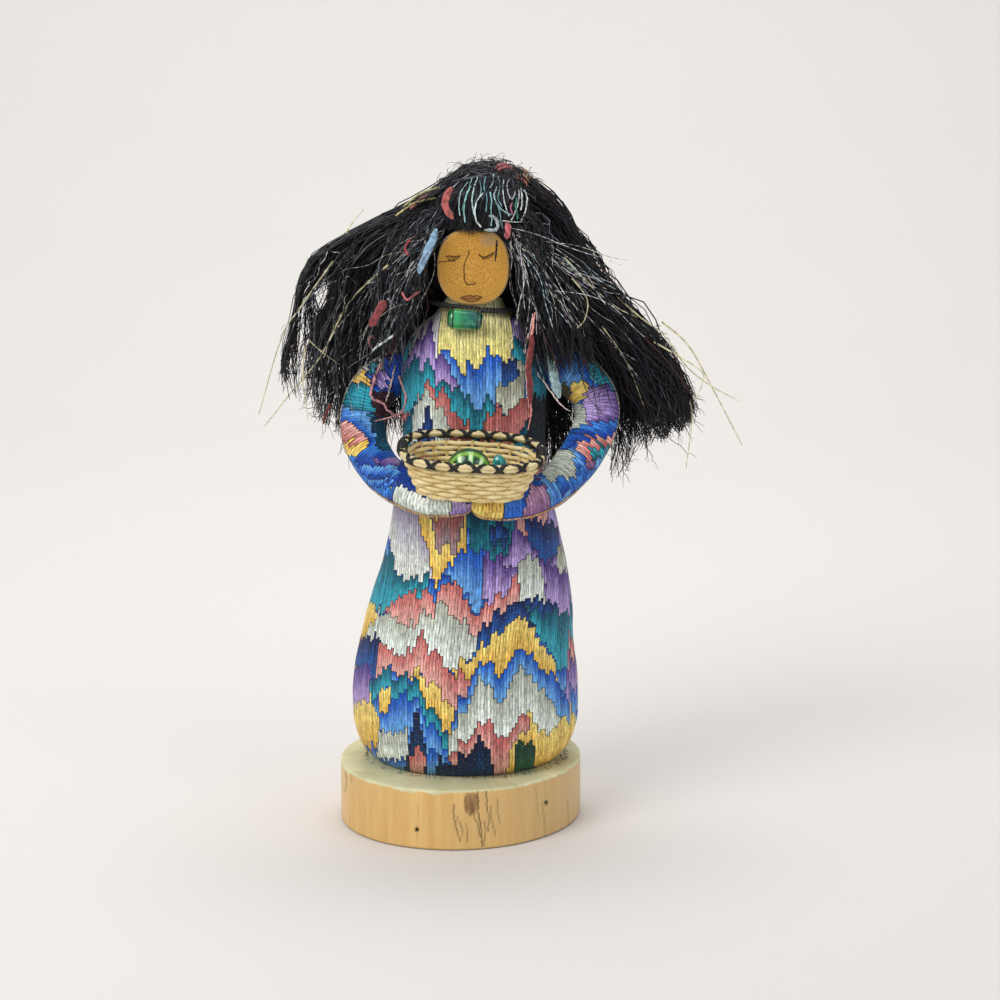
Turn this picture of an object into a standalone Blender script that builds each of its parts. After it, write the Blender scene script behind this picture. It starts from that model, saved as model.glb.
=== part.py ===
"""A folk art doll: a stuffed cloth figure that holds a wicker basket, on a slab of wood.

Metres, +Z up. The origin is the centre of the slab's underside, and the doll faces -Y.
Run it with blender --background --python part.py, or from the text editor.
"""

import math

import bmesh
import bpy
from mathutils import Vector

# Clearance between pieces that touch
GAP = 0.0004

# Wooden slab, an oval slice of a branch
SLAB_LONG = 0.1300
SLAB_SHORT = 0.1205
SLAB_TURN = math.radians(65)
SLAB_THICK = 0.0305
SLAB_EDGE = 0.0012
NAIL_HOLE_RADIUS = 0.0009
NAIL_HOLE_DEPTH = 0.005
NAIL_HOLES = ((-103.0, 0.30), (-53.0, 0.72))
CHIP_WIDTH = 0.005
CHIP_DEPTH = 0.0022
CHIP_ANGLE = math.radians(-84)
CHIP_TOP_SHARE = 0.62

# Stuffed body, turned and then flattened front to back
BODY_HEIGHT = 0.2335
BODY_WIDTH = 0.1146
BODY_DEPTH_SHARE = 0.90
BODY_SIDE_SHIFT = 0.0026
BODY_LEAN = 0.0044
# (height share, half-width share), from the foot of the skirt to the neck
BODY_PROFILE = (
    (0.000, 0.790),
    (0.012, 0.860),
    (0.036, 0.940),
    (0.070, 0.986),
    (0.108, 1.000),
    (0.180, 0.986),
    (0.253, 0.951),
    (0.342, 0.897),
    (0.428, 0.815),
    (0.518, 0.733),
    (0.600, 0.672),
    (0.690, 0.632),
    (0.770, 0.636),
    (0.840, 0.634),
    (0.890, 0.592),
    (0.930, 0.490),
    (0.962, 0.345),
    (0.985, 0.270),
    (1.000, 0.240),
)
LEAN_FROM_SHARE = 0.20
LEAN_TO_SHARE = 0.45

# Head, a stuffed ball cut flat where it sits on the neck and where the face is glued
HEAD_WIDTH = 0.044
HEAD_DEPTH = 0.042
HEAD_HEIGHT = 0.046
HEAD_SEAT = 0.003
HEAD_FLAT = 0.015
FACE_WIDTH = 0.0350
FACE_HEIGHT = 0.0375
FACE_SQUARENESS = 2.35
FACE_THICK = 0.0034
FACE_ROUND = 0.0014
FACE_DROP = 0.0042

# Neck cord and the bead that hangs under it
CORD_THICK = 0.0029
CORD_HALF_WIDTH = 0.0205
CORD_SLOPE = math.radians(5.5)
BEAD_LENGTH = 0.0170
BEAD_THICK = 0.0100
BEAD_ROUND = 0.0032
BEAD_DROP = 0.0083
BEAD_SIDE = -0.0040
BEAD_TURN = math.radians(4)

# Basket, modelled upright in its own frame and then tipped towards the viewer
BASKET_WIDTH = 0.0665
BASKET_DEPTH_SHARE = 0.61
BASKET_SQUARENESS = 2.8
BASKET_HEIGHT = 0.0200
BASKET_FLOOR_SHARE = 0.77
BASKET_WALL = 0.0020
BASKET_RIM_THICK = 0.0044
BASKET_TIP = math.radians(13.7)
BASKET_ROLL = math.radians(3.0)
BASKET_BODY_SHARE = 0.709
BASKET_SIDE = -0.0004
STRIPED_BEAD = (0.0205, 0.0150, 0.0185)
STRIPED_BEAD_SIDE = -0.0010
NUGGET = (0.0078, 0.0078, 0.0165)
NUGGET_SIDE = 0.0165
NUGGET_LEAN = math.radians(15)

# Stuffed arms, from inside the shoulder to the wrist: (side, front, height, radius). Height is a share of the
# body's height, and the others are shares of its half-width. The body cuts the shoulder end.
ARM_LEFT = (
    (-0.454, 0.070, 0.839, 0.166),
    (-0.698, 0.052, 0.833, 0.195),
    (-0.916, -0.017, 0.786, 0.202),
    (-0.960, -0.140, 0.717, 0.192),
    (-0.838, -0.349, 0.657, 0.178),
    (-0.611, -0.628, 0.617, 0.161),
)
ARM_RIGHT = (
    (0.454, 0.070, 0.850, 0.166),
    (0.733, 0.052, 0.846, 0.195),
    (0.977, 0.000, 0.809, 0.206),
    (1.068, -0.105, 0.752, 0.199),
    (0.969, -0.244, 0.687, 0.185),
    (0.768, -0.489, 0.634, 0.171),
    (0.541, -0.733, 0.602, 0.154),
)
# The hands: (side, front, height, radius) from the middle of the basket's underside, in metres
HAND_LEFT = (
    (-0.0191, 0.0026, -0.0066, 0.0076),
    (-0.0046, -0.0009, -0.0067, 0.0064),
    (0.0002, -0.0014, -0.0065, 0.0040),
)
HAND_RIGHT = (
    (0.0184, 0.0006, -0.0081, 0.0076),
    (0.0064, -0.0019, -0.0076, 0.0064),
    (0.0020, -0.0022, -0.0071, 0.0040),
)
ARM_STATIONS = 18
ARM_SIDES = 12

# Hair, knotted at each temple: knots are shares of the head's half sizes from its centre
LEFT_KNOT = (-0.56, -0.40, 0.93)
RIGHT_KNOT = (1.00, -0.50, 0.58)
LEFT_RISE = -0.003
RIGHT_RISE = -0.036
LEFT_REACH = 0.80
RIGHT_REACH = 0.45
LEFT_FALL = 0.70
RIGHT_FALL = 0.30
# One row for each lock: how far its tip is out from the knot, back from it and below it, and the lock's radius
LEFT_LOCKS = (
    (0.081, 0.006, 0.092, 0.0056),
    (0.067, 0.020, 0.100, 0.0085),
    (0.061, 0.004, 0.105, 0.0080),
    (0.053, 0.014, 0.113, 0.0105),
    (0.046, 0.032, 0.112, 0.0115),
    (0.039, 0.016, 0.112, 0.0105),
    (0.030, 0.030, 0.112, 0.0115),
    (0.032, -0.012, 0.104, 0.0070),
    (0.020, -0.016, 0.078, 0.0056),
)
RIGHT_LOCKS = (
    (0.087, 0.010, 0.100, 0.0080),
    (0.082, 0.026, 0.104, 0.0095),
    (0.076, 0.012, 0.108, 0.0105),
    (0.066, 0.020, 0.110, 0.0115),
    (0.058, 0.034, 0.106, 0.0115),
    (0.053, 0.024, 0.126, 0.0050),
    (0.044, 0.036, 0.104, 0.0115),
    (0.034, -0.010, 0.092, 0.0080),
    (0.022, -0.014, 0.100, 0.0060),
    (0.008, -0.014, 0.086, 0.0046),
)
LOCK_STATIONS = 9
LOCK_SIDES = 8
LOCK_ROOT_SHARE = 0.62
LOCK_TIP_SHARE = 0.45
# Hair that falls down the back, in a curtain
BACK_LOCKS = 7
BACK_SPREAD = 0.036
BACK_LENGTH = 0.098
BACK_DEPTH = 0.031
BACK_RADIUS = 0.0100
# Crown of gathered yarn above the forehead, and the cap of hair over the head
CROWN_SIZE = (0.052, 0.045, 0.043)
CROWN_SIDE = 0.0070
CROWN_FRONT = -0.004
CROWN_RISE = 0.0231
CAP_GROW = 0.0065
CAP_BACK = 0.0040
PARTING_DROP = 0.070
PARTING_CLEAR = 0.0010
HAIR_GRAIN = 0.0022
HAIR_SMOOTHING = 3
HAIR_TRIANGLES = 1700

# Stiff straws that stick out of the hair: (root side, front, height), (tip side, front, height), from the
# head's centre, and how far the middle bows up
STRAW_RADIUS = 0.0007
STRAW_SIDES = 6
STRAW_STATIONS = 9
STRAWS = (
    ((-0.042, -0.006, 0.002), (-0.104, -0.010, -0.087), 0.006),
    ((-0.060, 0.000, 0.000), (-0.106, -0.004, -0.080), 0.010),
    ((0.050, -0.001, -0.012), (0.131, -0.014, -0.069), 0.006),
    ((0.076, 0.003, -0.032), (0.132, -0.010, -0.092), 0.012),
    ((0.100, 0.006, -0.060), (0.105, 0.004, -0.103), 0.004),
)


def clear_scene():
    for obj in list(bpy.data.objects):
        bpy.data.objects.remove(obj, do_unlink=True)


def new_collection(name):
    collection = bpy.data.collections.new(name)
    bpy.context.scene.collection.children.link(collection)
    return collection


def new_material(name, colour, roughness, metallic=0.0):
    material = bpy.data.materials.new(name)
    material.use_nodes = True
    shader = material.node_tree.nodes["Principled BSDF"]
    shader.inputs["Base Color"].default_value = (*colour, 1.0)
    shader.inputs["Roughness"].default_value = roughness
    shader.inputs["Metallic"].default_value = metallic
    return material


def mesh_object(name, mesh, collection):
    obj = bpy.data.objects.new(name, mesh)
    collection.objects.link(obj)
    return obj


def frozen(obj):
    """Replaces an object by a plain mesh of what it evaluates to, in the same place."""
    bpy.context.view_layer.update()
    graph = bpy.context.evaluated_depsgraph_get()
    mesh = bpy.data.meshes.new_from_object(obj.evaluated_get(graph))
    mesh.transform(obj.matrix_world)
    name = obj.name
    collection = obj.users_collection[0]
    bpy.data.objects.remove(obj, do_unlink=True)
    return mesh_object(name, mesh, collection)


def edit_mesh(obj, change):
    """Runs change on the object's mesh as a bmesh and writes it back."""
    work = bmesh.new()
    work.from_mesh(obj.data)
    change(work)
    work.to_mesh(obj.data)
    work.free()
    obj.data.update()


def weld_and_face_out(obj, distance=1e-6):
    def change(work):
        bmesh.ops.remove_doubles(work, verts=work.verts, dist=distance)
        bmesh.ops.recalc_face_normals(work, faces=work.faces)

    edit_mesh(obj, change)


def smooth_shaded(obj, angle=40):
    obj.data.shade_smooth()
    obj.data.set_sharp_from_angle(angle=math.radians(angle))


def finish_piece(obj, material, angle=40):
    """Gives a finished piece its material and its shading."""
    obj.data.materials.clear()
    obj.data.materials.append(material)
    smooth_shaded(obj, angle)
    return obj


def catmull_rom(rows, count):
    """count + 1 rows read from a smooth curve through the given rows of numbers."""
    read = []
    spans = len(rows) - 1
    for step in range(count + 1):
        place = step / count * spans
        i = min(int(place), spans - 1)
        t = place - i
        before = rows[max(i - 1, 0)]
        after = rows[min(i + 2, spans)]
        row = []
        for a, b, c, d in zip(before, rows[i], rows[i + 1], after):
            row.append(
                0.5 * (2 * b + (c - a) * t + (2 * a - 5 * b + 4 * c - d) * t**2 + (3 * b - a - 3 * c + d) * t**3)
            )
        read.append(tuple(row))
    return read


def bezier(points, count):
    """count + 1 points along a cubic Bezier curve."""
    a, b, c, d = (Vector(p) for p in points)
    read = []
    for step in range(count + 1):
        t = step / count
        s = 1 - t
        read.append(a * s**3 + b * 3 * s * s * t + c * 3 * s * t * t + d * t**3)
    return read


def turned(name, profile, steps, collection):
    """A solid of revolution about Z from (radius, height) rows that run from the axis to the axis."""
    mesh = bpy.data.meshes.new(name)
    points = [(radius, 0.0, height) for radius, height in profile]
    mesh.from_pydata(points, [(i, i + 1) for i in range(len(points) - 1)], [])
    obj = mesh_object(name, mesh, collection)
    screw = obj.modifiers.new("Turn", "SCREW")
    screw.steps = steps
    screw.render_steps = steps
    screw.use_merge_vertices = True
    screw.merge_threshold = 0.00001
    obj = frozen(obj)
    weld_and_face_out(obj)
    return obj


def tube(name, route, radii, sides, collection):
    """A closed tube through the route's points, with its own radius at each."""
    curve = bpy.data.curves.new(name, "CURVE")
    curve.dimensions = "3D"
    curve.bevel_mode = "ROUND"
    curve.bevel_depth = 1.0
    curve.bevel_resolution = max(sides // 2 - 2, 0)
    curve.use_fill_caps = True
    spline = curve.splines.new("POLY")
    spline.points.add(len(route) - 1)
    for point, place, radius in zip(spline.points, route, radii):
        point.co = (*place, 1.0)
        point.radius = radius
    obj = bpy.data.objects.new(name, curve)
    collection.objects.link(obj)
    obj = frozen(obj)
    weld_and_face_out(obj)
    return obj


def squared(angle, squareness):
    """How far out an oval with squared shoulders reaches at this angle, for a circle of 1."""
    return (abs(math.cos(angle)) ** squareness + abs(math.sin(angle)) ** squareness) ** (-1 / squareness)


def ellipsoid(name, size, centre, collection, segments=20, rings=12):
    mesh = bpy.data.meshes.new(name)
    work = bmesh.new()
    bmesh.ops.create_uvsphere(work, u_segments=segments, v_segments=rings, radius=0.5)
    bmesh.ops.scale(work, vec=size, verts=work.verts)
    bmesh.ops.translate(work, vec=centre, verts=work.verts)
    work.to_mesh(mesh)
    work.free()
    return mesh_object(name, mesh, collection)


def cut_flat(obj, point, normal):
    """Removes what lies beyond a plane and closes the cut."""

    def change(work):
        geometry = list(work.verts) + list(work.edges) + list(work.faces)
        cut = bmesh.ops.bisect_plane(
            work, geom=geometry, plane_co=point, plane_no=normal, clear_outer=True, dist=1e-7
        )
        edges = [item for item in cut["geom_cut"] if isinstance(item, bmesh.types.BMEdge)]
        bmesh.ops.contextual_create(work, geom=edges)
        bmesh.ops.recalc_face_normals(work, faces=work.faces)

    edit_mesh(obj, change)


def combined(obj, other, operation):
    """The object after an exact Boolean with the other one, as a plain mesh."""
    modifier = obj.modifiers.new(operation.title(), "BOOLEAN")
    modifier.operation = operation
    modifier.object = other
    modifier.use_self = True
    return frozen(obj)


def main_body_only(obj):
    """Removes the crumbs that a cut leaves beside the main body."""

    def change(work):
        bmesh.ops.triangulate(work, faces=work.faces)
        left = set(work.verts)
        bodies = []
        while left:
            front = [left.pop()]
            body = list(front)
            while front:
                for edge in front.pop().link_edges:
                    for vert in edge.verts:
                        if vert in left:
                            left.remove(vert)
                            front.append(vert)
                            body.append(vert)
            bodies.append(body)
        bodies.sort(key=len)
        crumbs = [vert for body in bodies[:-1] for vert in body]
        bmesh.ops.delete(work, geom=crumbs, context="VERTS")

    edit_mesh(obj, change)


def grown_copy(obj, amount, collection):
    """A cutter: the object's mesh moved out along its normals."""
    copy = mesh_object(obj.name + "_cutter", obj.data.copy(), collection)
    displace = copy.modifiers.new("Grow", "DISPLACE")
    displace.strength = amount
    displace.mid_level = 0.0
    copy = frozen(copy)
    copy.hide_render = True
    copy.display_type = "WIRE"
    return copy


def slab_rim_point(angle):
    """The point of the slab's outline that the origin sees at this angle."""
    long_half = SLAB_LONG / 2
    short_half = SLAB_SHORT / 2
    turned_angle = angle - SLAB_TURN
    radius = (
        long_half * short_half
        / math.hypot(short_half * math.cos(turned_angle), long_half * math.sin(turned_angle))
    )
    return Vector((radius * math.cos(angle), radius * math.sin(angle), 0.0))


def make_slab(parts, cutters, material):
    """The wooden slab, with its nail holes and the chip in its front edge."""
    mesh = bpy.data.meshes.new("wooden_base")
    work = bmesh.new()
    bmesh.ops.create_cone(work, cap_ends=True, segments=72, radius1=0.5, radius2=0.5, depth=1.0)
    bmesh.ops.scale(work, vec=(SLAB_LONG, SLAB_SHORT, SLAB_THICK), verts=work.verts)
    bmesh.ops.translate(work, vec=(0, 0, SLAB_THICK / 2), verts=work.verts)
    work.to_mesh(mesh)
    work.free()
    slab = mesh_object("wooden_base", mesh, parts)
    slab.rotation_euler.z = SLAB_TURN
    bevel = slab.modifiers.new("Worn edge", "BEVEL")
    bevel.width = SLAB_EDGE
    bevel.segments = 2
    bevel.limit_method = "ANGLE"
    bevel.angle_limit = math.radians(50)
    slab = frozen(slab)
    for degrees, height_share in NAIL_HOLES:
        rim = slab_rim_point(math.radians(degrees))
        inward = -rim.normalized()
        start = rim - inward * NAIL_HOLE_DEPTH + Vector((0, 0, SLAB_THICK * height_share))
        end = start + inward * 2 * NAIL_HOLE_DEPTH
        radii = (NAIL_HOLE_RADIUS, NAIL_HOLE_RADIUS)
        hole = tube(f"nail_hole_{degrees:.0f}", (start, end), radii, 8, cutters)
        hole.hide_render = True
        hole.display_type = "WIRE"
        slab = combined(slab, hole, "DIFFERENCE")
    rim = slab_rim_point(CHIP_ANGLE)
    outward = rim.normalized()
    foot = rim + outward * (CHIP_WIDTH / 2) + Vector((0, 0, SLAB_THICK * (1 - CHIP_TOP_SHARE)))
    head = rim + outward * (CHIP_WIDTH / 2 - CHIP_DEPTH) + Vector((0, 0, SLAB_THICK + CHIP_WIDTH))
    chip = tube("chip", (foot, head), (CHIP_WIDTH / 2, CHIP_WIDTH / 2), 8, cutters)
    chip.hide_render = True
    chip.display_type = "WIRE"
    slab = combined(slab, chip, "DIFFERENCE")
    weld_and_face_out(slab)
    return finish_piece(slab, material, 30)


def body_rows():
    """(height, half-width) of the body, read smoothly from its profile."""
    rows = catmull_rom(BODY_PROFILE, 26)
    return [(height * BODY_HEIGHT, share * BODY_WIDTH / 2) for height, share in rows]


def body_half_width(height):
    rows = body_rows()
    for (low, first), (high, second) in zip(rows, rows[1:]):
        if low <= height <= high:
            return first + (second - first) * (height - low) / (high - low)
    return rows[-1][1] if height > rows[-1][0] else rows[0][1]


def body_axis(height):
    """How far the body's axis stands to the side, at a height above the slab."""
    share = (height / BODY_HEIGHT - LEAN_FROM_SHARE) / (LEAN_TO_SHARE - LEAN_FROM_SHARE)
    share = min(max(share, 0.0), 1.0)
    return BODY_SIDE_SHIFT + BODY_LEAN * share * share * (3 - 2 * share)


def make_body(parts, material):
    rows = body_rows()
    profile = [(0.0, rows[-1][0])] + [(half, height) for height, half in reversed(rows)] + [(0.0, 0.0)]
    body = turned("body", profile, 30, parts)
    for vert in body.data.vertices:
        vert.co.y *= BODY_DEPTH_SHARE
        vert.co.x += body_axis(vert.co.z)
        vert.co.z += SLAB_THICK + GAP
    return finish_piece(body, material)


def head_centre():
    height = SLAB_THICK + GAP + BODY_HEIGHT + GAP + HEAD_HEIGHT / 2 - HEAD_SEAT
    return Vector((body_axis(BODY_HEIGHT), 0.0, height))


def make_head(parts, material):
    centre = head_centre()
    head = ellipsoid("head", (HEAD_WIDTH, HEAD_DEPTH, HEAD_HEIGHT), centre, parts)
    seat = centre - Vector((0, 0, HEAD_HEIGHT / 2 - HEAD_SEAT))
    cut_flat(head, seat, (0, 0, -1))
    cut_flat(head, centre - Vector((0, HEAD_FLAT, 0)), (0, -1, 0))
    return finish_piece(head, material)


def face_centre():
    return head_centre() - Vector((0, HEAD_FLAT + GAP + FACE_THICK / 2, FACE_DROP))


def face_plate(name, thickness, segments, collection):
    """An upright plate with the face's outline, about the origin."""
    mesh = bpy.data.meshes.new(name)
    work = bmesh.new()
    bmesh.ops.create_cone(work, cap_ends=True, segments=segments, radius1=0.5, radius2=0.5, depth=thickness)
    for vert in work.verts:
        reach = squared(math.atan2(vert.co.y, vert.co.x), FACE_SQUARENESS)
        vert.co.x *= FACE_WIDTH * reach
        vert.co.y *= FACE_HEIGHT * reach
    work.to_mesh(mesh)
    work.free()
    plate = mesh_object(name, mesh, collection)
    plate.rotation_euler.x = math.radians(90)
    return plate


def make_face(parts, material):
    """The oval face piece, which stands upright against the head's flat front."""
    face = face_plate("face", FACE_THICK, 36, parts)
    face.location = face_centre()
    bevel = face.modifiers.new("Rounded edge", "BEVEL")
    bevel.width = min(FACE_ROUND, FACE_THICK * 0.45)
    bevel.segments = 2
    bevel.limit_method = "ANGLE"
    return finish_piece(frozen(face), material)


def cord_front():
    """How far the middle of the neck cord stands in front of the head's axis: it is level with the face."""
    return HEAD_FLAT + GAP + FACE_THICK


def make_neck_cord(parts, material):
    """A closed ring of cord that runs round the neck, just under the chin."""
    bpy.ops.mesh.primitive_torus_add(
        major_segments=32, minor_segments=6, major_radius=CORD_HALF_WIDTH, minor_radius=CORD_THICK / 2
    )
    ring = bpy.context.object
    ring.name = "neck_cord"
    for collection in list(ring.users_collection):
        collection.objects.unlink(ring)
    parts.objects.link(ring)
    stretch = cord_front() - CORD_HALF_WIDTH
    for vert in ring.data.vertices:
        if vert.co.y < 0:
            vert.co.y += stretch * vert.co.y / CORD_HALF_WIDTH
    ring.rotation_euler.y = CORD_SLOPE
    chin = face_centre().z - FACE_HEIGHT / 2
    ring.location = (body_axis(BODY_HEIGHT), 0.0, chin - GAP - CORD_THICK / 2)
    return finish_piece(frozen(ring), material)


def make_neck_bead(parts, material):
    """The barrel bead that hangs under the neck cord, on the breast."""
    height = BODY_HEIGHT - BEAD_DROP
    mesh = bpy.data.meshes.new("neck_bead")
    work = bmesh.new()
    bmesh.ops.create_cone(
        work, cap_ends=True, segments=20, radius1=BEAD_THICK / 2, radius2=BEAD_THICK / 2, depth=BEAD_LENGTH
    )
    work.to_mesh(mesh)
    work.free()
    bead = mesh_object("neck_bead", mesh, parts)
    lowest = height - BEAD_THICK / 2
    front = body_half_width(lowest) * BODY_DEPTH_SHARE + GAP + BEAD_THICK / 2
    bead.rotation_euler = (0.0, math.radians(90) + BEAD_TURN, 0.0)
    bead.location = (body_axis(height) + BEAD_SIDE, -front, SLAB_THICK + GAP + height)
    bevel = bead.modifiers.new("Rounded ends", "BEVEL")
    bevel.width = min(BEAD_ROUND, BEAD_THICK * 0.4)
    bevel.segments = 3
    bevel.limit_method = "ANGLE"
    return finish_piece(frozen(bead), material)


def basket_place():
    """The basket's frame: an empty at the middle of its underside, tipped and rolled."""
    rim_height = BODY_HEIGHT * BASKET_BODY_SHARE
    rim_half = BASKET_WIDTH * BASKET_DEPTH_SHARE / 2 + BASKET_RIM_THICK / 2
    back_height = rim_height + rim_half * math.sin(BASKET_TIP)
    front = max(body_half_width(rim_height), body_half_width(back_height)) * BODY_DEPTH_SHARE
    rim_middle = Vector(
        (
            body_axis(rim_height) + BASKET_SIDE,
            -(front + GAP + rim_half * math.cos(BASKET_TIP) + BASKET_RIM_THICK / 2 * math.sin(BASKET_TIP)),
            SLAB_THICK + GAP + rim_height,
        )
    )
    empty = bpy.data.objects.new("basket_place", None)
    empty.rotation_euler = (BASKET_TIP, BASKET_ROLL, 0.0)
    up = empty.rotation_euler.to_matrix() @ Vector((0, 0, 1))
    empty.location = rim_middle - up * BASKET_HEIGHT
    return empty


def basket_half_width(share):
    """Half-width of the basket's outside at a share of its height: it flares with a slight belly."""
    floor_half = BASKET_WIDTH * BASKET_FLOOR_SHARE / 2
    return floor_half + (BASKET_WIDTH / 2 - floor_half) * (0.6 * share + 0.4 * math.sin(share * math.pi / 2))


def basket_outline(angle):
    """A point of the brim's outline, as a share of the basket's half-width."""
    reach = squared(angle, BASKET_SQUARENESS)
    return Vector((reach * math.cos(angle), reach * math.sin(angle) * BASKET_DEPTH_SHARE))


def placed_in_basket(obj, place):
    obj.parent = place
    bpy.context.view_layer.update()
    return frozen(obj)


def make_basket(parts, place, material):
    """The woven bowl, as an oval shell that is open at the top."""
    rings = 6
    corner = BASKET_WALL
    profile = [(0.0, 0.0), (basket_half_width(0) - corner, 0.0)]
    for ring in range(rings):
        share = ring / (rings - 1)
        lift = corner * 0.5 * (1 - share)
        profile.append((basket_half_width(share), lift + BASKET_HEIGHT * share))
    basket = turned("basket", list(reversed(profile)), 40, parts)
    for vert in basket.data.vertices:
        half = math.hypot(vert.co.x, vert.co.y)
        if half > 0:
            vert.co.x, vert.co.y = half * basket_outline(math.atan2(vert.co.y, vert.co.x))
    top = BASKET_HEIGHT - BASKET_RIM_THICK / 2 - GAP

    def face_down(work):
        for face in work.faces:
            if face.normal.z > 0 and face.calc_center_median().z < BASKET_WALL:
                face.normal_flip()

    def level_brim(work):
        for vert in work.verts:
            vert.co.z = min(vert.co.z, top)

    edit_mesh(basket, face_down)
    wall = basket.modifiers.new("Wall", "SOLIDIFY")
    wall.thickness = BASKET_WALL
    wall.offset = -1.0
    wall.use_even_offset = True
    basket = frozen(basket)
    edit_mesh(basket, level_brim)
    return finish_piece(placed_in_basket(basket, place), material)


def make_basket_rim(parts, place, material):
    """The lashed border that lies on the basket's brim."""
    bpy.ops.mesh.primitive_torus_add(
        major_segments=40, minor_segments=6, major_radius=BASKET_WIDTH / 2, minor_radius=BASKET_RIM_THICK / 2
    )
    rim = bpy.context.object
    rim.name = "basket_rim"
    for collection in list(rim.users_collection):
        collection.objects.unlink(rim)
    parts.objects.link(rim)
    half = BASKET_WIDTH / 2
    for vert in rim.data.vertices:
        angle = math.atan2(vert.co.y, vert.co.x)
        across = math.hypot(vert.co.x, vert.co.y) - half
        along = basket_outline(angle + 0.01) - basket_outline(angle - 0.01)
        outward = Vector((along.y, -along.x)).normalized()
        vert.co.x, vert.co.y = half * basket_outline(angle) + outward * across
    rim.location = (0.0, 0.0, BASKET_HEIGHT)
    return finish_piece(placed_in_basket(rim, place), material)


def make_basket_beads(parts, place, striped_material, nugget_material):
    floor = BASKET_WALL + GAP
    striped = ellipsoid(
        "striped_bead", STRIPED_BEAD, (STRIPED_BEAD_SIDE, 0.0, floor + STRIPED_BEAD[2] / 2), parts, 20, 10
    )
    striped = finish_piece(placed_in_basket(striped, place), striped_material)
    nugget = ellipsoid("turquoise_nugget", NUGGET, (0.0, 0.0, NUGGET[2] / 2), parts, 12, 8)
    nugget.rotation_euler.y = -NUGGET_LEAN
    nugget.location = (NUGGET_SIDE, 0.0, floor + GAP)
    nugget = finish_piece(placed_in_basket(nugget, place), nugget_material)
    return [striped, nugget]


def arm_rows(body_shares, hand_offsets, underside):
    """(x, y, z, radius) along an arm, from its shoulder on the body to its hand under the basket."""
    half = BODY_WIDTH / 2
    rows = []
    for side, front, height, radius in body_shares:
        level = height * BODY_HEIGHT
        rows.append((body_axis(level) + side * half, front * half, SLAB_THICK + GAP + level, radius * half))
    for side, front, height, radius in hand_offsets:
        rows.append((underside.x + side, underside.y + front, underside.z + height, radius))
    return rows


def make_arm(name, rows, parts, body_cutter, basket_cutters, material):
    """A stuffed arm: its shoulder is cut to the body, and its hand to the basket's underside."""
    read = catmull_rom(rows, ARM_STATIONS)
    arm = tube(name, [row[:3] for row in read], [row[3] for row in read], ARM_SIDES, parts)
    arm = combined(arm, body_cutter, "DIFFERENCE")
    for cutter in basket_cutters:
        arm = combined(arm, cutter, "DIFFERENCE")
    main_body_only(arm)
    weld_and_face_out(arm)
    return finish_piece(arm, material)


def lock_radii(thick):
    """A lock is narrow at the knot, full a third of the way down and thin at its tip."""
    radii = []
    for station in range(LOCK_STATIONS + 1):
        t = station / LOCK_STATIONS
        swell = math.sin(math.pi * min(t / 0.8, 1.0) ** 0.7) if t < 0.8 else 0.0
        ends = LOCK_ROOT_SHARE + (LOCK_TIP_SHARE - LOCK_ROOT_SHARE) * t
        radii.append(thick * (ends + (1 - ends) * swell))
    return radii


def fanned_locks(side, knot_shares, rise, reach, fall, rows, collection):
    """The locks that leave one knot. side is -1 on the left and 1 on the right."""
    sizes = Vector((HEAD_WIDTH, HEAD_DEPTH, HEAD_HEIGHT)) / 2
    knot = head_centre() + Vector(tuple(share * size for share, size in zip(knot_shares, sizes)))
    widest = max(row[0] for row in rows)
    locks = []
    for number, (out, back, down, thick) in enumerate(rows):
        tip = knot + Vector((side * out, back, -down))
        first = knot + Vector((side * out * reach, back * 0.55, rise * out / widest))
        second = tip + Vector((0.0, back * 0.15, fall * down))
        route = bezier((knot, first, second, tip), LOCK_STATIONS)
        locks.append(tube(f"lock_{side}_{number}", route, lock_radii(thick), LOCK_SIDES, collection))
    return locks


def back_locks(collection):
    """The curtain of hair that falls down the doll's back."""
    centre = head_centre()
    locks = []
    for number in range(BACK_LOCKS):
        across = 2 * number / (BACK_LOCKS - 1) - 1
        root = centre + Vector((across * HEAD_WIDTH * 0.30, HEAD_DEPTH * 0.30, HEAD_HEIGHT * 0.42))
        tip = centre + Vector(
            (across * BACK_SPREAD, BACK_DEPTH - 0.006 * across**2, HEAD_HEIGHT * 0.3 - BACK_LENGTH)
        )
        first = root + Vector((across * BACK_SPREAD * 0.4, BACK_DEPTH * 0.75, 0.0))
        second = tip + Vector((0.0, 0.004, BACK_LENGTH * 0.5))
        route = bezier((root, first, second, tip), LOCK_STATIONS)
        locks.append(tube(f"back_lock_{number}", route, lock_radii(BACK_RADIUS), LOCK_SIDES, collection))
    return locks


def joined(objects, name):
    """One object that holds the meshes of several, still as separate shells."""
    work = bmesh.new()
    collection = objects[0].users_collection[0]
    for obj in objects:
        work.from_mesh(obj.data)
        bpy.data.objects.remove(obj, do_unlink=True)
    mesh = bpy.data.meshes.new(name)
    work.to_mesh(mesh)
    work.free()
    return mesh_object(name, mesh, collection)


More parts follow.
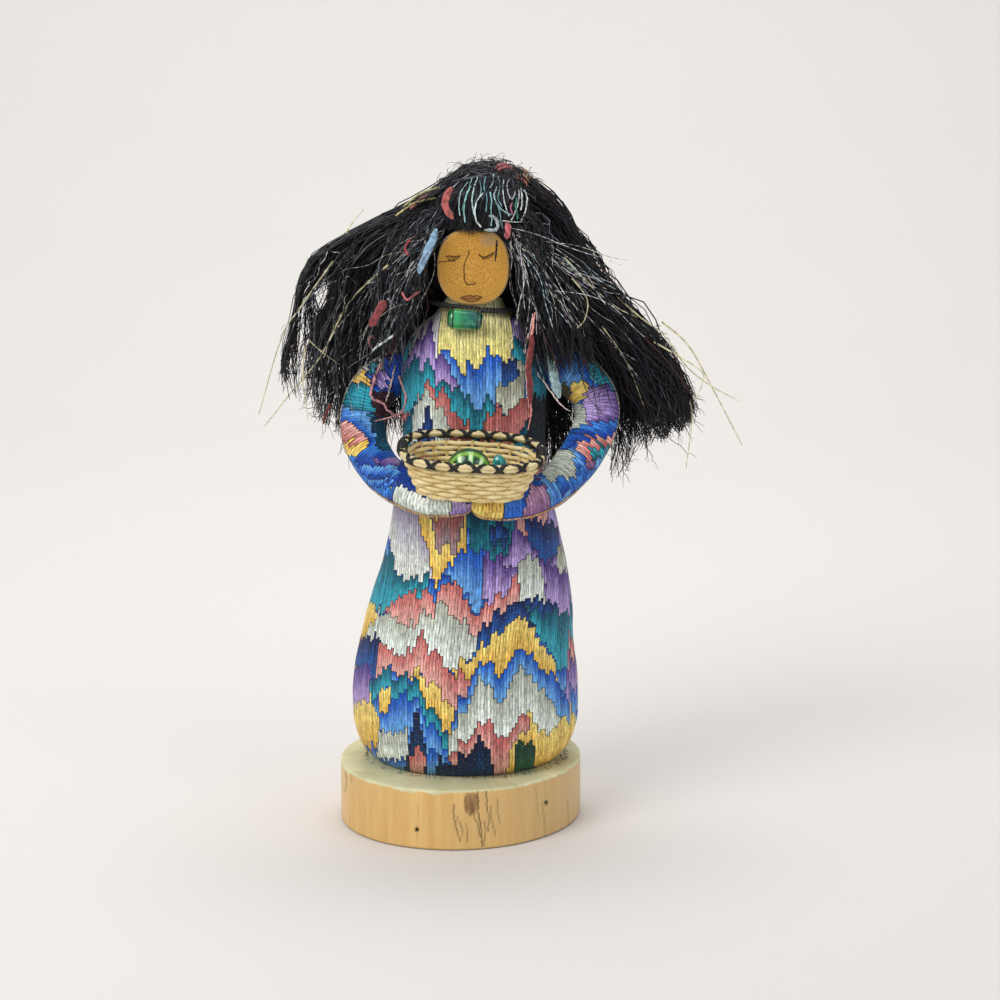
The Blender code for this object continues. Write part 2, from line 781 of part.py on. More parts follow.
def hair_mass(parts):
    """All the hair fused into one solid: the locks, the crown and the cap over the head."""
    centre = head_centre()
    crown_centre = centre + Vector((CROWN_SIDE, CROWN_FRONT, CROWN_RISE))
    cap_size = [size + 2 * CAP_GROW for size in (HEAD_WIDTH, HEAD_DEPTH, HEAD_HEIGHT)]
    shells = fanned_locks(-1, LEFT_KNOT, LEFT_RISE, LEFT_REACH, LEFT_FALL, LEFT_LOCKS, parts)
    shells += fanned_locks(1, RIGHT_KNOT, RIGHT_RISE, RIGHT_REACH, RIGHT_FALL, RIGHT_LOCKS, parts)
    shells += back_locks(parts)
    shells.append(ellipsoid("crown", CROWN_SIZE, crown_centre, parts))
    shells.append(ellipsoid("cap", cap_size, centre + Vector((0, CAP_BACK, 0)), parts))
    hair = joined(shells, "hair")
    remesh = hair.modifiers.new("Fuse", "REMESH")
    remesh.mode = "VOXEL"
    remesh.voxel_size = HAIR_GRAIN
    smooth = hair.modifiers.new("Soften", "SMOOTH")
    smooth.iterations = HAIR_SMOOTHING
    hair = frozen(hair)
    triangles = 2 * len(hair.data.polygons)
    decimate = hair.modifiers.new("Thin out", "DECIMATE")
    decimate.ratio = min(1.0, HAIR_TRIANGLES / triangles)
    return frozen(hair)


def face_parting(collection):
    """A cutter that keeps the hair clear of the face, and of the neck and breast below it."""
    depth = HEAD_DEPTH * 2
    back = FACE_THICK / 2 + PARTING_CLEAR
    upper = face_plate("parting_upper", depth, 24, collection)
    upper.scale = (1 + 2 * PARTING_CLEAR / FACE_WIDTH, 1 + 2 * PARTING_CLEAR / FACE_HEIGHT, 1.0)
    upper.location = face_centre() - Vector((0, depth / 2 - back, 0))
    upper = frozen(upper)
    mesh = bpy.data.meshes.new("parting")
    work = bmesh.new()
    bmesh.ops.create_cube(work, size=1.0)
    bmesh.ops.scale(work, vec=(FACE_WIDTH + 2 * PARTING_CLEAR, depth, PARTING_DROP), verts=work.verts)
    work.to_mesh(mesh)
    work.free()
    parting = mesh_object("parting", mesh, collection)
    parting.location = face_centre() - Vector((0, depth / 2 - back, PARTING_DROP / 2))
    parting = combined(frozen(parting), upper, "UNION")
    for obj in (upper, parting):
        obj.hide_render = True
        obj.display_type = "WIRE"
    return parting


def make_straws(collection):
    centre = head_centre()
    straws = []
    for number, (root, tip, bow) in enumerate(STRAWS):
        start = centre + Vector(root)
        end = centre + Vector(tip)
        lift = Vector((0.0, 0.0, bow))
        points = (start, start.lerp(end, 0.4) + lift, start.lerp(end, 0.75) + lift, end)
        route = bezier(points, STRAW_STATIONS)
        radii = [STRAW_RADIUS] * STRAW_STATIONS + [STRAW_RADIUS * 0.5]
        straws.append(tube(f"straw_{number}", route, radii, STRAW_SIDES, collection))
    return straws


def make_hair(parts, cutters, neighbours, material):
    """The hair, with its straws, cut back from everything that it touches."""
    hair = combined(hair_mass(parts), face_parting(cutters), "DIFFERENCE")
    for straw in make_straws(cutters):
        hair = combined(hair, straw, "UNION")
        straw.hide_render = True
        straw.display_type = "WIRE"
    for neighbour in neighbours:
        hair = combined(hair, grown_copy(neighbour, GAP, cutters), "DIFFERENCE")
    main_body_only(hair)
    weld_and_face_out(hair, 1e-5)
    return finish_piece(hair, material, 60)


def main():
    clear_scene()
    parts = new_collection("folk_art_doll")
    cutters = new_collection("cutters")

    wood = new_material("varnished_wood", (0.62, 0.44, 0.20), 0.55)
    cloth = new_material("flame_stitch_cloth", (0.22, 0.36, 0.58), 0.85)
    suede = new_material("tan_suede", (0.56, 0.34, 0.12), 0.9)
    stuffing = new_material("dark_cloth", (0.03, 0.03, 0.04), 0.9)
    black_cord = new_material("black_cord", (0.02, 0.02, 0.02), 0.6)
    green_stone = new_material("green_stone", (0.01, 0.30, 0.19), 0.2)
    wicker = new_material("wicker", (0.70, 0.56, 0.33), 0.7)
    lashing = new_material("lashed_border", (0.10, 0.09, 0.08), 0.7)
    striped_glass = new_material("striped_glass", (0.10, 0.40, 0.16), 0.15)
    turquoise = new_material("turquoise", (0.02, 0.30, 0.30), 0.3)
    black_hair = new_material("black_hair", (0.012, 0.013, 0.018), 0.5)

    slab = make_slab(parts, cutters, wood)
    body = make_body(parts, cloth)
    head = make_head(parts, stuffing)
    face = make_face(parts, suede)
    neck_cord = make_neck_cord(parts, black_cord)
    neck_bead = make_neck_bead(parts, green_stone)

    place = basket_place()
    cutters.objects.link(place)
    basket = make_basket(parts, place, wicker)
    rim = make_basket_rim(parts, place, lashing)
    make_basket_beads(parts, place, striped_glass, turquoise)

    body_cutter = grown_copy(body, GAP, cutters)
    basket_cutters = [grown_copy(basket, GAP, cutters), grown_copy(rim, GAP, cutters)]
    left_rows = arm_rows(ARM_LEFT, HAND_LEFT, place.location)
    right_rows = arm_rows(ARM_RIGHT, HAND_RIGHT, place.location)
    arms = [
        make_arm("arm_left", left_rows, parts, body_cutter, basket_cutters, cloth),
        make_arm("arm_right", right_rows, parts, body_cutter, basket_cutters, cloth),
    ]
    neighbours = [neck_cord, neck_bead, face, head, body, *arms, basket, rim]
    make_hair(parts, cutters, neighbours, black_hair)
    assert slab.name == "wooden_base"


main()
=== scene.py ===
"""Visual model of the folk art doll: a stuffed cloth figure with a basket, on a slab of wood. Lengths are in metres."""

import math

import bpy
import numpy as np
from mathutils import Euler, Matrix, Vector, noise
from mathutils.bvhtree import BVHTree


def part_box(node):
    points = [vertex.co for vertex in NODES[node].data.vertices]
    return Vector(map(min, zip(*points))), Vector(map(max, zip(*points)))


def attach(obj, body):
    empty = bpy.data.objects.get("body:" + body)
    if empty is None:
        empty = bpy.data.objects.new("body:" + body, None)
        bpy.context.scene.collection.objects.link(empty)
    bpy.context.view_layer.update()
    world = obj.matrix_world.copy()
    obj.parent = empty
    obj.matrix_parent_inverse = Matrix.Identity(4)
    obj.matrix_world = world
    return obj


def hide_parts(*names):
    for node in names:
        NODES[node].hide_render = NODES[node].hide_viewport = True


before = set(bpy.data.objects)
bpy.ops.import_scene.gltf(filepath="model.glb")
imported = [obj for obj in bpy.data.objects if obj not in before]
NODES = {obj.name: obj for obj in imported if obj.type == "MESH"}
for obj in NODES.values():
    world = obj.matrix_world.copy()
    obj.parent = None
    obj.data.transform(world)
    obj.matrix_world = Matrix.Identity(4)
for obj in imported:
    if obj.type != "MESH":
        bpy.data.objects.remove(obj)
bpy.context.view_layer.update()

SCENE = bpy.context.scene

# ---------------------------------------------------------------- sizes that the CAD model has too
GAP = 0.0004
SLAB_LONG = 0.1300
SLAB_SHORT = 0.1205
SLAB_TURN = math.radians(65)
SLAB_THICK = 0.0305
BODY_HEIGHT = 0.2335
BODY_WIDTH = 0.1146
BODY_DEPTH_SHARE = 0.90
BODY_SIDE_SHIFT = 0.0026
BODY_LEAN = 0.0044
BODY_PROFILE = (
    (0.000, 0.790), (0.012, 0.860), (0.036, 0.940), (0.070, 0.986), (0.108, 1.000), (0.180, 0.986), (0.253, 0.951),
    (0.342, 0.897), (0.428, 0.815), (0.518, 0.733), (0.600, 0.672), (0.690, 0.632), (0.770, 0.636), (0.840, 0.634),
    (0.890, 0.592), (0.930, 0.490), (0.962, 0.345), (0.985, 0.270), (1.000, 0.240),
)
HEAD_SIZE = Vector((0.044, 0.042, 0.046))
FACE_WIDTH = 0.0350
FACE_HEIGHT = 0.0375
FACE_SQUARENESS = 2.35
CORD_THICK = 0.0029
CORD_HALF_WIDTH = 0.0205
CORD_FRONT = 0.0188
CORD_SLOPE = math.radians(5.5)
BASKET_WIDTH = 0.0665
BASKET_DEPTH_SHARE = 0.61
BASKET_SQUARENESS = 2.8
BASKET_HEIGHT = 0.0200
BASKET_FLOOR_SHARE = 0.77
BASKET_WALL = 0.0020
BASKET_RIM_THICK = 0.0044
BASKET_TIP = math.radians(13.7)
BASKET_TURN = Euler((BASKET_TIP, math.radians(3.0), 0.0)).to_matrix()
STRIPED_BEAD = (0.0205, 0.0150, 0.0185)
NUGGET = (0.0078, 0.0078, 0.0165)
ARM_LEFT = (
    (-0.454, 0.070, 0.839, 0.166), (-0.698, 0.052, 0.833, 0.195), (-0.916, -0.017, 0.786, 0.202),
    (-0.960, -0.140, 0.717, 0.192), (-0.838, -0.349, 0.657, 0.178), (-0.611, -0.628, 0.617, 0.161),
)
ARM_RIGHT = (
    (0.454, 0.070, 0.850, 0.166), (0.733, 0.052, 0.846, 0.195), (0.977, 0.000, 0.809, 0.206),
    (1.068, -0.105, 0.752, 0.199), (0.969, -0.244, 0.687, 0.185), (0.768, -0.489, 0.634, 0.171),
    (0.541, -0.733, 0.602, 0.154),
)
HAND_LEFT = (
    (-0.0191, 0.0026, -0.0066, 0.0076), (-0.0046, -0.0009, -0.0067, 0.0064), (0.0002, -0.0014, -0.0065, 0.0040),
)
HAND_RIGHT = (
    (0.0184, 0.0006, -0.0081, 0.0076), (0.0064, -0.0019, -0.0076, 0.0064), (0.0020, -0.0022, -0.0071, 0.0040),
)
LEFT_KNOT = (-0.56, -0.40, 0.93)
RIGHT_KNOT = (1.00, -0.50, 0.58)
# Locks of hair: how far the tip is out from the knot, back from it and below it, and the lock's radius
LEFT_LOCKS = (
    (0.081, 0.006, 0.092, 0.0056), (0.067, 0.020, 0.100, 0.0085), (0.061, 0.004, 0.105, 0.0080),
    (0.053, 0.014, 0.113, 0.0105), (0.046, 0.032, 0.112, 0.0115), (0.039, 0.016, 0.112, 0.0105),
    (0.030, 0.030, 0.112, 0.0115), (0.032, -0.012, 0.104, 0.0070), (0.020, -0.016, 0.078, 0.0056),
)
RIGHT_LOCKS = (
    (0.087, 0.010, 0.100, 0.0080), (0.082, 0.026, 0.104, 0.0095), (0.076, 0.012, 0.108, 0.0105),
    (0.066, 0.020, 0.110, 0.0115), (0.058, 0.034, 0.106, 0.0115), (0.053, 0.024, 0.126, 0.0050),
    (0.044, 0.036, 0.104, 0.0115), (0.034, -0.010, 0.092, 0.0080), (0.022, -0.014, 0.100, 0.0060),
    (0.008, -0.014, 0.086, 0.0046),
)
BASE_TOP = SLAB_THICK + GAP

# ---------------------------------------------------------------- camera
CAMERA_PLACE = Vector((0.0200, -1.2761, 0.4100))
CAMERA_DOWN = math.radians(11.0)
LENS = 93.6
SENSOR = 36.0
FORWARD = np.array((0.0, math.cos(CAMERA_DOWN), -math.sin(CAMERA_DOWN)))
UPWARD = np.array((0.0, math.sin(CAMERA_DOWN), math.cos(CAMERA_DOWN)))
FOCUS = LENS / SENSOR * 1000


def in_photo(points):
    """Where points fall in the photo, as thousandths of its width from the left and from the top."""
    away = np.asarray(points, float) - np.array(CAMERA_PLACE)
    depth = away @ FORWARD
    return np.stack((500 + FOCUS * away[..., 0] / depth, 500 - FOCUS * (away @ UPWARD) / depth), -1)


def from_photo(across, down, y):
    """The point at this depth that falls on this place of the photo."""
    ray = FORWARD + np.array((1.0, 0, 0)) * (across - 500) / FOCUS + UPWARD * (500 - down) / FOCUS
    return Vector(np.array(CAMERA_PLACE) + ray * (y - CAMERA_PLACE.y) / ray[1])


def set_camera():
    data = bpy.data.cameras.new("camera")
    data.lens = LENS
    data.sensor_width = SENSOR
    data.clip_start = 0.05
    camera = bpy.data.objects.new("camera", data)
    camera.location = CAMERA_PLACE
    camera.rotation_euler = (math.radians(90) - CAMERA_DOWN, 0.0, 0.0)
    SCENE.collection.objects.link(camera)
    SCENE.camera = camera


# ---------------------------------------------------------------- light and floor
def area_light(name, place, target, size, power, colour=(1.0, 1.0, 1.0)):
    data = bpy.data.lights.new(name, "AREA")
    data.shape = "DISK"
    data.size = size
    data.energy = power
    data.color = colour
    light = bpy.data.objects.new(name, data)
    light.location = place
    light.rotation_euler = (Vector(target) - Vector(place)).to_track_quat("-Z", "Y").to_euler()
    SCENE.collection.objects.link(light)


def set_light():
    world = bpy.data.worlds.new("studio")
    SCENE.world = world
    world.use_nodes = True
    background = world.node_tree.nodes["Background"]
    background.inputs["Color"].default_value = (0.98, 0.975, 0.97, 1.0)
    background.inputs["Strength"].default_value = 0.58
    area_light("key", (-0.75, -0.85, 1.05), (0.0, 0.0, 0.17), 0.85, 11.5, (1.0, 0.988, 0.972))
    area_light("fill", (0.9, -0.9, 0.55), (0.0, 0.0, 0.16), 0.8, 2.6, (0.95, 0.97, 1.0))
    area_light("top", (0.05, 0.25, 1.2), (0.0, 0.0, 0.2), 0.6, 3.6)
    area_light("backdrop", (0.0, 0.95, 2.0), (0.0, 1.75, 0.55), 1.4, 8.0)
    SCENE.view_settings.view_transform = "Standard"
    SCENE.view_settings.look = "None"


def set_floor():
    """A pale sweep: a level floor that curves up behind the doll."""
    bend, half_width, height = 0.9, 3.0, 3.0
    rows = [(y, 0.0) for y in (-3.0, -1.2, -0.4, 0.0, 0.4, bend)]
    for step in range(1, 9):
        turn = math.radians(90 * step / 8)
        rows.append((bend + bend * math.sin(turn), bend - bend * math.cos(turn)))
    rows.append((2 * bend, height))
    points = []
    for y, z in rows:
        points += [(-half_width, y, z), (half_width, y, z)]
    faces = [(2 * i, 2 * i + 1, 2 * i + 3, 2 * i + 2) for i in range(len(rows) - 1)]
    paper = Material("floor_paper", roughness=0.9, specular=0.1)
    _, y, _ = paper.split(paper.place)
    # the paper is darker at the front and lighter towards the back: painted light falloff over the floor
    away = paper.math("MULTIPLY_ADD", y, 0.8, 0.20)
    cloudy = paper.noise(6.0, detail=2)
    tone = paper.ramp(
        away, (0.0, srgb(215, 211, 208)), (0.20, srgb(220, 216, 213)), (0.52, srgb(229, 226, 223)),
        (0.9, srgb(238, 235, 232)),
    )
    paper.base(paper.mix(paper.math("MULTIPLY", cloudy, 0.05), tone, srgb(206, 202, 198)))
    mesh_object("floor", points, faces, paper)


# ---------------------------------------------------------------- materials
def linear(value):
    value = value / 255.0
    return value / 12.92 if value <= 0.04045 else ((value + 0.055) / 1.055) ** 2.4


def srgb(red, green, blue):
    return (linear(red), linear(green), linear(blue), 1.0)


class Material:
    """A node material on one Principled shader, with short names for the nodes that it needs."""

    def __init__(self, name, roughness=0.6, specular=0.5, sheen=0.0, coat=0.0, coat_roughness=0.1):
        self.material = bpy.data.materials.new(name)
        self.material.use_nodes = True
        self.nodes = self.material.node_tree.nodes
        self.links = self.material.node_tree.links
        self.shader = self.nodes["Principled BSDF"]
        self.shader.inputs["Roughness"].default_value = roughness
        self.shader.inputs["Specular IOR Level"].default_value = specular
        self.shader.inputs["Sheen Weight"].default_value = sheen
        self.shader.inputs["Coat Weight"].default_value = coat
        self.shader.inputs["Coat Roughness"].default_value = coat_roughness
        coordinates = self.nodes.new("ShaderNodeTexCoord")
        self.place = coordinates.outputs["Object"]

    def link(self, value, socket):
        if hasattr(value, "is_output"):
            self.links.new(value, socket)
        else:
            socket.default_value = value

    def base(self, colour):
        self.link(colour, self.shader.inputs["Base Color"])

    def rough(self, value):
        self.link(value, self.shader.inputs["Roughness"])

    def math(self, what, first, second=0.0, third=0.0):
        node = self.nodes.new("ShaderNodeMath")
        node.operation = what
        for value, socket in zip((first, second, third), node.inputs):
            self.link(value, socket)
        return node.outputs[0]

    def mix(self, share, first, second, how="MIX"):
        node = self.nodes.new("ShaderNodeMix")
        node.data_type = "RGBA"
        node.blend_type = how
        self.link(share, node.inputs["Factor"])
        self.link(first, node.inputs[6])
        self.link(second, node.inputs[7])
        return node.outputs[2]

    def noise(self, scale, detail=3.0, rough=0.5, source=None, distortion=0.0):
        """Noise of one scale, or of a scale for each direction."""
        source = source or self.place
        if isinstance(scale, tuple):
            node = self.nodes.new("ShaderNodeMapping")
            self.links.new(source, node.inputs["Vector"])
            node.inputs["Scale"].default_value = scale
            source, scale = node.outputs[0], 1.0
        node = self.nodes.new("ShaderNodeTexNoise")
        self.links.new(source, node.inputs["Vector"])
        node.inputs["Scale"].default_value = scale
        node.inputs["Detail"].default_value = detail
        node.inputs["Roughness"].default_value = rough
        node.inputs["Distortion"].default_value = distortion
        return node.outputs["Fac"]

    def cells(self, scale):
        node = self.nodes.new("ShaderNodeTexVoronoi")
        self.links.new(self.place, node.inputs["Vector"])
        node.inputs["Scale"].default_value = scale
        return node.outputs["Distance"]

    def ramp(self, value, *stops):
        """Reads a value from (place, value or colour) stops."""
        node = self.nodes.new("ShaderNodeValToRGB")
        self.links.new(value, node.inputs[0])
        elements = node.color_ramp.elements
        while len(elements) < len(stops):
            elements.new(0.5)
        for element, (place, colour) in zip(elements, stops):
            element.position = place
            element.color = colour if isinstance(colour, tuple) else (colour, colour, colour, 1.0)
        return node.outputs["Color"]

    def attribute(self, name, output="Color"):
        node = self.nodes.new("ShaderNodeAttribute")
        node.attribute_name = name
        return node.outputs[output]

    def channels(self, name):
        """The four numbers that the mesh carries under this name."""
        colour = self.attribute(name)
        return (*self.split(colour), colour.node.outputs["Alpha"])

    def split(self, vector):
        node = self.nodes.new("ShaderNodeSeparateXYZ")
        self.links.new(vector, node.inputs[0])
        return node.outputs

    def bump(self, height, depth, strength=1.0):
        node = self.nodes.new("ShaderNodeBump")
        node.inputs["Distance"].default_value = depth
        node.inputs["Strength"].default_value = strength
        self.link(height, node.inputs["Height"])
        self.links.new(node.outputs[0], self.shader.inputs["Normal"])


# ---------------------------------------------------------------- meshes
def finished(name, mesh, material):
    mesh.shade_smooth()
    mesh.materials.append(material.material)
    obj = bpy.data.objects.new(name, mesh)
    SCENE.collection.objects.link(obj)
    return obj


def mesh_object(name, points, faces, material):
    """A smooth mesh from lists of points and of faces with any number of corners."""
    mesh = bpy.data.meshes.new(name)
    mesh.from_pydata([tuple(p) for p in points], [], faces)
    return finished(name, mesh, material)


def quick_mesh(name, points, quads, material):
    """A smooth mesh from arrays of points and of four-cornered faces."""
    mesh = bpy.data.meshes.new(name)
    mesh.vertices.add(len(points))
    mesh.vertices.foreach_set("co", np.asarray(points, np.float32).ravel())
    mesh.loops.add(quads.size)
    mesh.loops.foreach_set("vertex_index", quads.astype(np.int32).ravel())
    mesh.polygons.add(len(quads))
    mesh.polygons.foreach_set("loop_start", np.arange(len(quads), dtype=np.int32) * 4)
    mesh.update(calc_edges=True)
    mesh.validate()
    return finished(name, mesh, material)


def ring_quads(rings, steps):
    """Faces between closed rings of points that follow each other."""
    index = np.arange(rings * steps).reshape(rings, steps)
    ahead = np.roll(index, -1, 1)
    return np.stack((index[:-1], ahead[:-1], ahead[1:], index[1:]), -1).reshape(-1, 4)


def write_colours(obj, name, values, domain="POINT"):
    """Keeps four numbers for each vertex or face corner, for the shader to read."""
    layer = obj.data.color_attributes.new(name, "FLOAT_COLOR", domain)
    layer.data.foreach_set("color", np.asarray(values, np.float32).ravel())


def ride(piece, replaces=None):
    """Hides the CAD node that a piece stands for, if one is given, and hangs the piece on the doll's one body."""
    if replaces:
        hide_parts(replaces)
    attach(piece, "root")


def catmull_rom(rows, count):
    """count + 1 rows read from a smooth curve through the given rows of numbers."""
    rows = np.asarray(rows, float)
    spans = len(rows) - 1
    place = np.linspace(0, spans, count + 1)
    i = np.minimum(place.astype(int), spans - 1)
    t = (place - i)[:, None]
    a, b, c, d = rows[np.maximum(i - 1, 0)], rows[i], rows[i + 1], rows[np.minimum(i + 2, spans)]
    return 0.5 * (2 * b + (c - a) * t + (2 * a - 5 * b + 4 * c - d) * t**2 + (3 * b - a - 3 * c + d) * t**3)


def bezier(points, count):
    a, b, c, d = (np.array(p, float) for p in points)
    t = np.linspace(0, 1, count + 1)[:, None]
    s = 1 - t
    return a * s**3 + b * 3 * s * s * t + c * 3 * s * t * t + d * t**3


def unit(vectors):
    return vectors / np.maximum(np.linalg.norm(vectors, axis=-1, keepdims=True), 1e-12)


def strand_mesh(name, routes, radii, material, sides=3, colours=None, closed=False):
    """Tubes along routes (strands x stations x 3), with radii (strands x stations) and a colour for each strand."""
    routes = np.asarray(routes, float)
    count, stations, _ = routes.shape
    radii = np.broadcast_to(np.asarray(radii, float), (count, stations))
    if closed:
        along = unit(np.roll(routes, -1, 1) - np.roll(routes, 1, 1))
    else:
        along = unit(np.gradient(routes, axis=1))
    # each ring starts where the ring before it does, so that the tube doesn't twist
    first = np.empty_like(routes)
    first[:, 0] = unit(np.cross(along[:, 0], np.array((0.31, 0.87, 0.39))))
    for station in range(1, stations):
        carried = first[:, station - 1]
        carried = carried - along[:, station] * np.sum(carried * along[:, station], -1, keepdims=True)
        first[:, station] = unit(carried)
    second = np.cross(along, first)
    turn = np.arange(sides) * 2 * math.pi / sides
    ring = (
        first[:, :, None] * np.cos(turn)[None, None, :, None] + second[:, :, None] * np.sin(turn)[None, None, :, None]
    )
    points = routes[:, :, None] + ring * radii[:, :, None, None]
    index = np.arange(count * stations * sides).reshape(count, stations, sides)
    if closed:
        low, high = index, np.roll(index, -1, 1)
    else:
        low, high = index[:, :-1], index[:, 1:]
    quads = np.stack((low, np.roll(low, -1, 2), np.roll(high, -1, 2), high), -1).reshape(-1, 4)
    obj = quick_mesh(name, points.reshape(-1, 3), quads, material)
    if colours is not None:
        values = np.ones((count, stations, sides, 4), np.float32)
        values[..., :3] = np.asarray(colours, np.float32)[:, None, None, :]
        write_colours(obj, "tint", values)
    return obj


def squared(angle, squareness):
    """How far a rounded square of half-width 1 reaches at this angle."""
    return (abs(math.cos(angle)) ** squareness + abs(math.sin(angle)) ** squareness) ** (-1 / squareness)


# ---------------------------------------------------------------- the body's surface
PROFILE = catmull_rom(BODY_PROFILE, 120)
PROFILE = PROFILE[np.argsort(PROFILE[:, 0], kind="stable")]


def body_half(height):
    """Half-width of the body at a height above the slab."""
    return np.interp(np.asarray(height) / BODY_HEIGHT, PROFILE[:, 0], PROFILE[:, 1]) * BODY_WIDTH / 2


def body_axis(height):
    """X of the body's middle at a height above the slab."""
    share = np.clip((np.asarray(height) / BODY_HEIGHT - 0.20) / 0.25, 0.0, 1.0)
    return BODY_SIDE_SHIFT + BODY_LEAN * share * share * (3 - 2 * share)


# lengths along a quarter of the body's oval, whose half-width is 1
QUARTER_TURN = np.linspace(0, math.pi / 2, 721)
QUARTER_STEPS = np.hypot(np.diff(np.sin(QUARTER_TURN)), BODY_DEPTH_SHARE * np.diff(np.cos(QUARTER_TURN)))
QUARTER_REACH = np.concatenate(([0.0], np.cumsum(QUARTER_STEPS)))


def on_body(reach, height, front):
    """The point of the body that is this far round from its front (or back) middle line, at this height."""
    half = body_half(height)
    turn = np.interp(np.abs(reach) / half, QUARTER_REACH, QUARTER_TURN) * np.sign(reach)
    side = -1.0 if front else 1.0
    return np.stack(
        (body_axis(height) + half * np.sin(turn), side * half * BODY_DEPTH_SHARE * np.cos(turn), BASE_TOP + height), -1
    )


# ---------------------------------------------------------------- flame-stitch cloth
GREY_CREAM = ((160, 150, 178), (222, 228, 220))
YELLOW = ((246, 216, 120), (230, 186, 84))
PALE_YELLOW = ((242, 238, 180), (236, 222, 132))
CORAL = ((198, 108, 104), (228, 170, 160))
DEEP_CORAL = ((178, 92, 88), (212, 136, 128))
GREY_CORAL = ((176, 104, 98), (150, 132, 140))
TEAL = ((0, 92, 112), (48, 168, 190))
DARK_TEAL = ((0, 60, 88), (14, 120, 142))
NAVY = ((6, 30, 84), (30, 84, 160))
DARK_NAVY = ((4, 24, 58), (14, 56, 100))
BLUE = ((12, 84, 190), (106, 172, 238))
DEEP_BLUE = ((8, 58, 160), (50, 126, 214))
PURPLE = ((88, 62, 142), (182, 158, 216))
CREAM = ((184, 190, 176), (228, 239, 231))
BEIGE = ((160, 160, 140), (208, 212, 194))
GREEN = ((20, 62, 48), (34, 92, 62))
WHITE_GREY = ((228, 226, 226), (206, 200, 208))
MAUVE = ((96, 60, 124), (186, 140, 172))
# dark maroon: partly maroon, partly painted shade between the left arm and the body
MAROON_IN_SHADE = ((58, 24, 36), (98, 48, 62))
OLIVE = ((98, 96, 62), (160, 158, 110))
# near-black: painted shade, where the hair and the right arm shade the body's side
PAINTED_SHADE = ((8, 12, 20), (22, 32, 46))

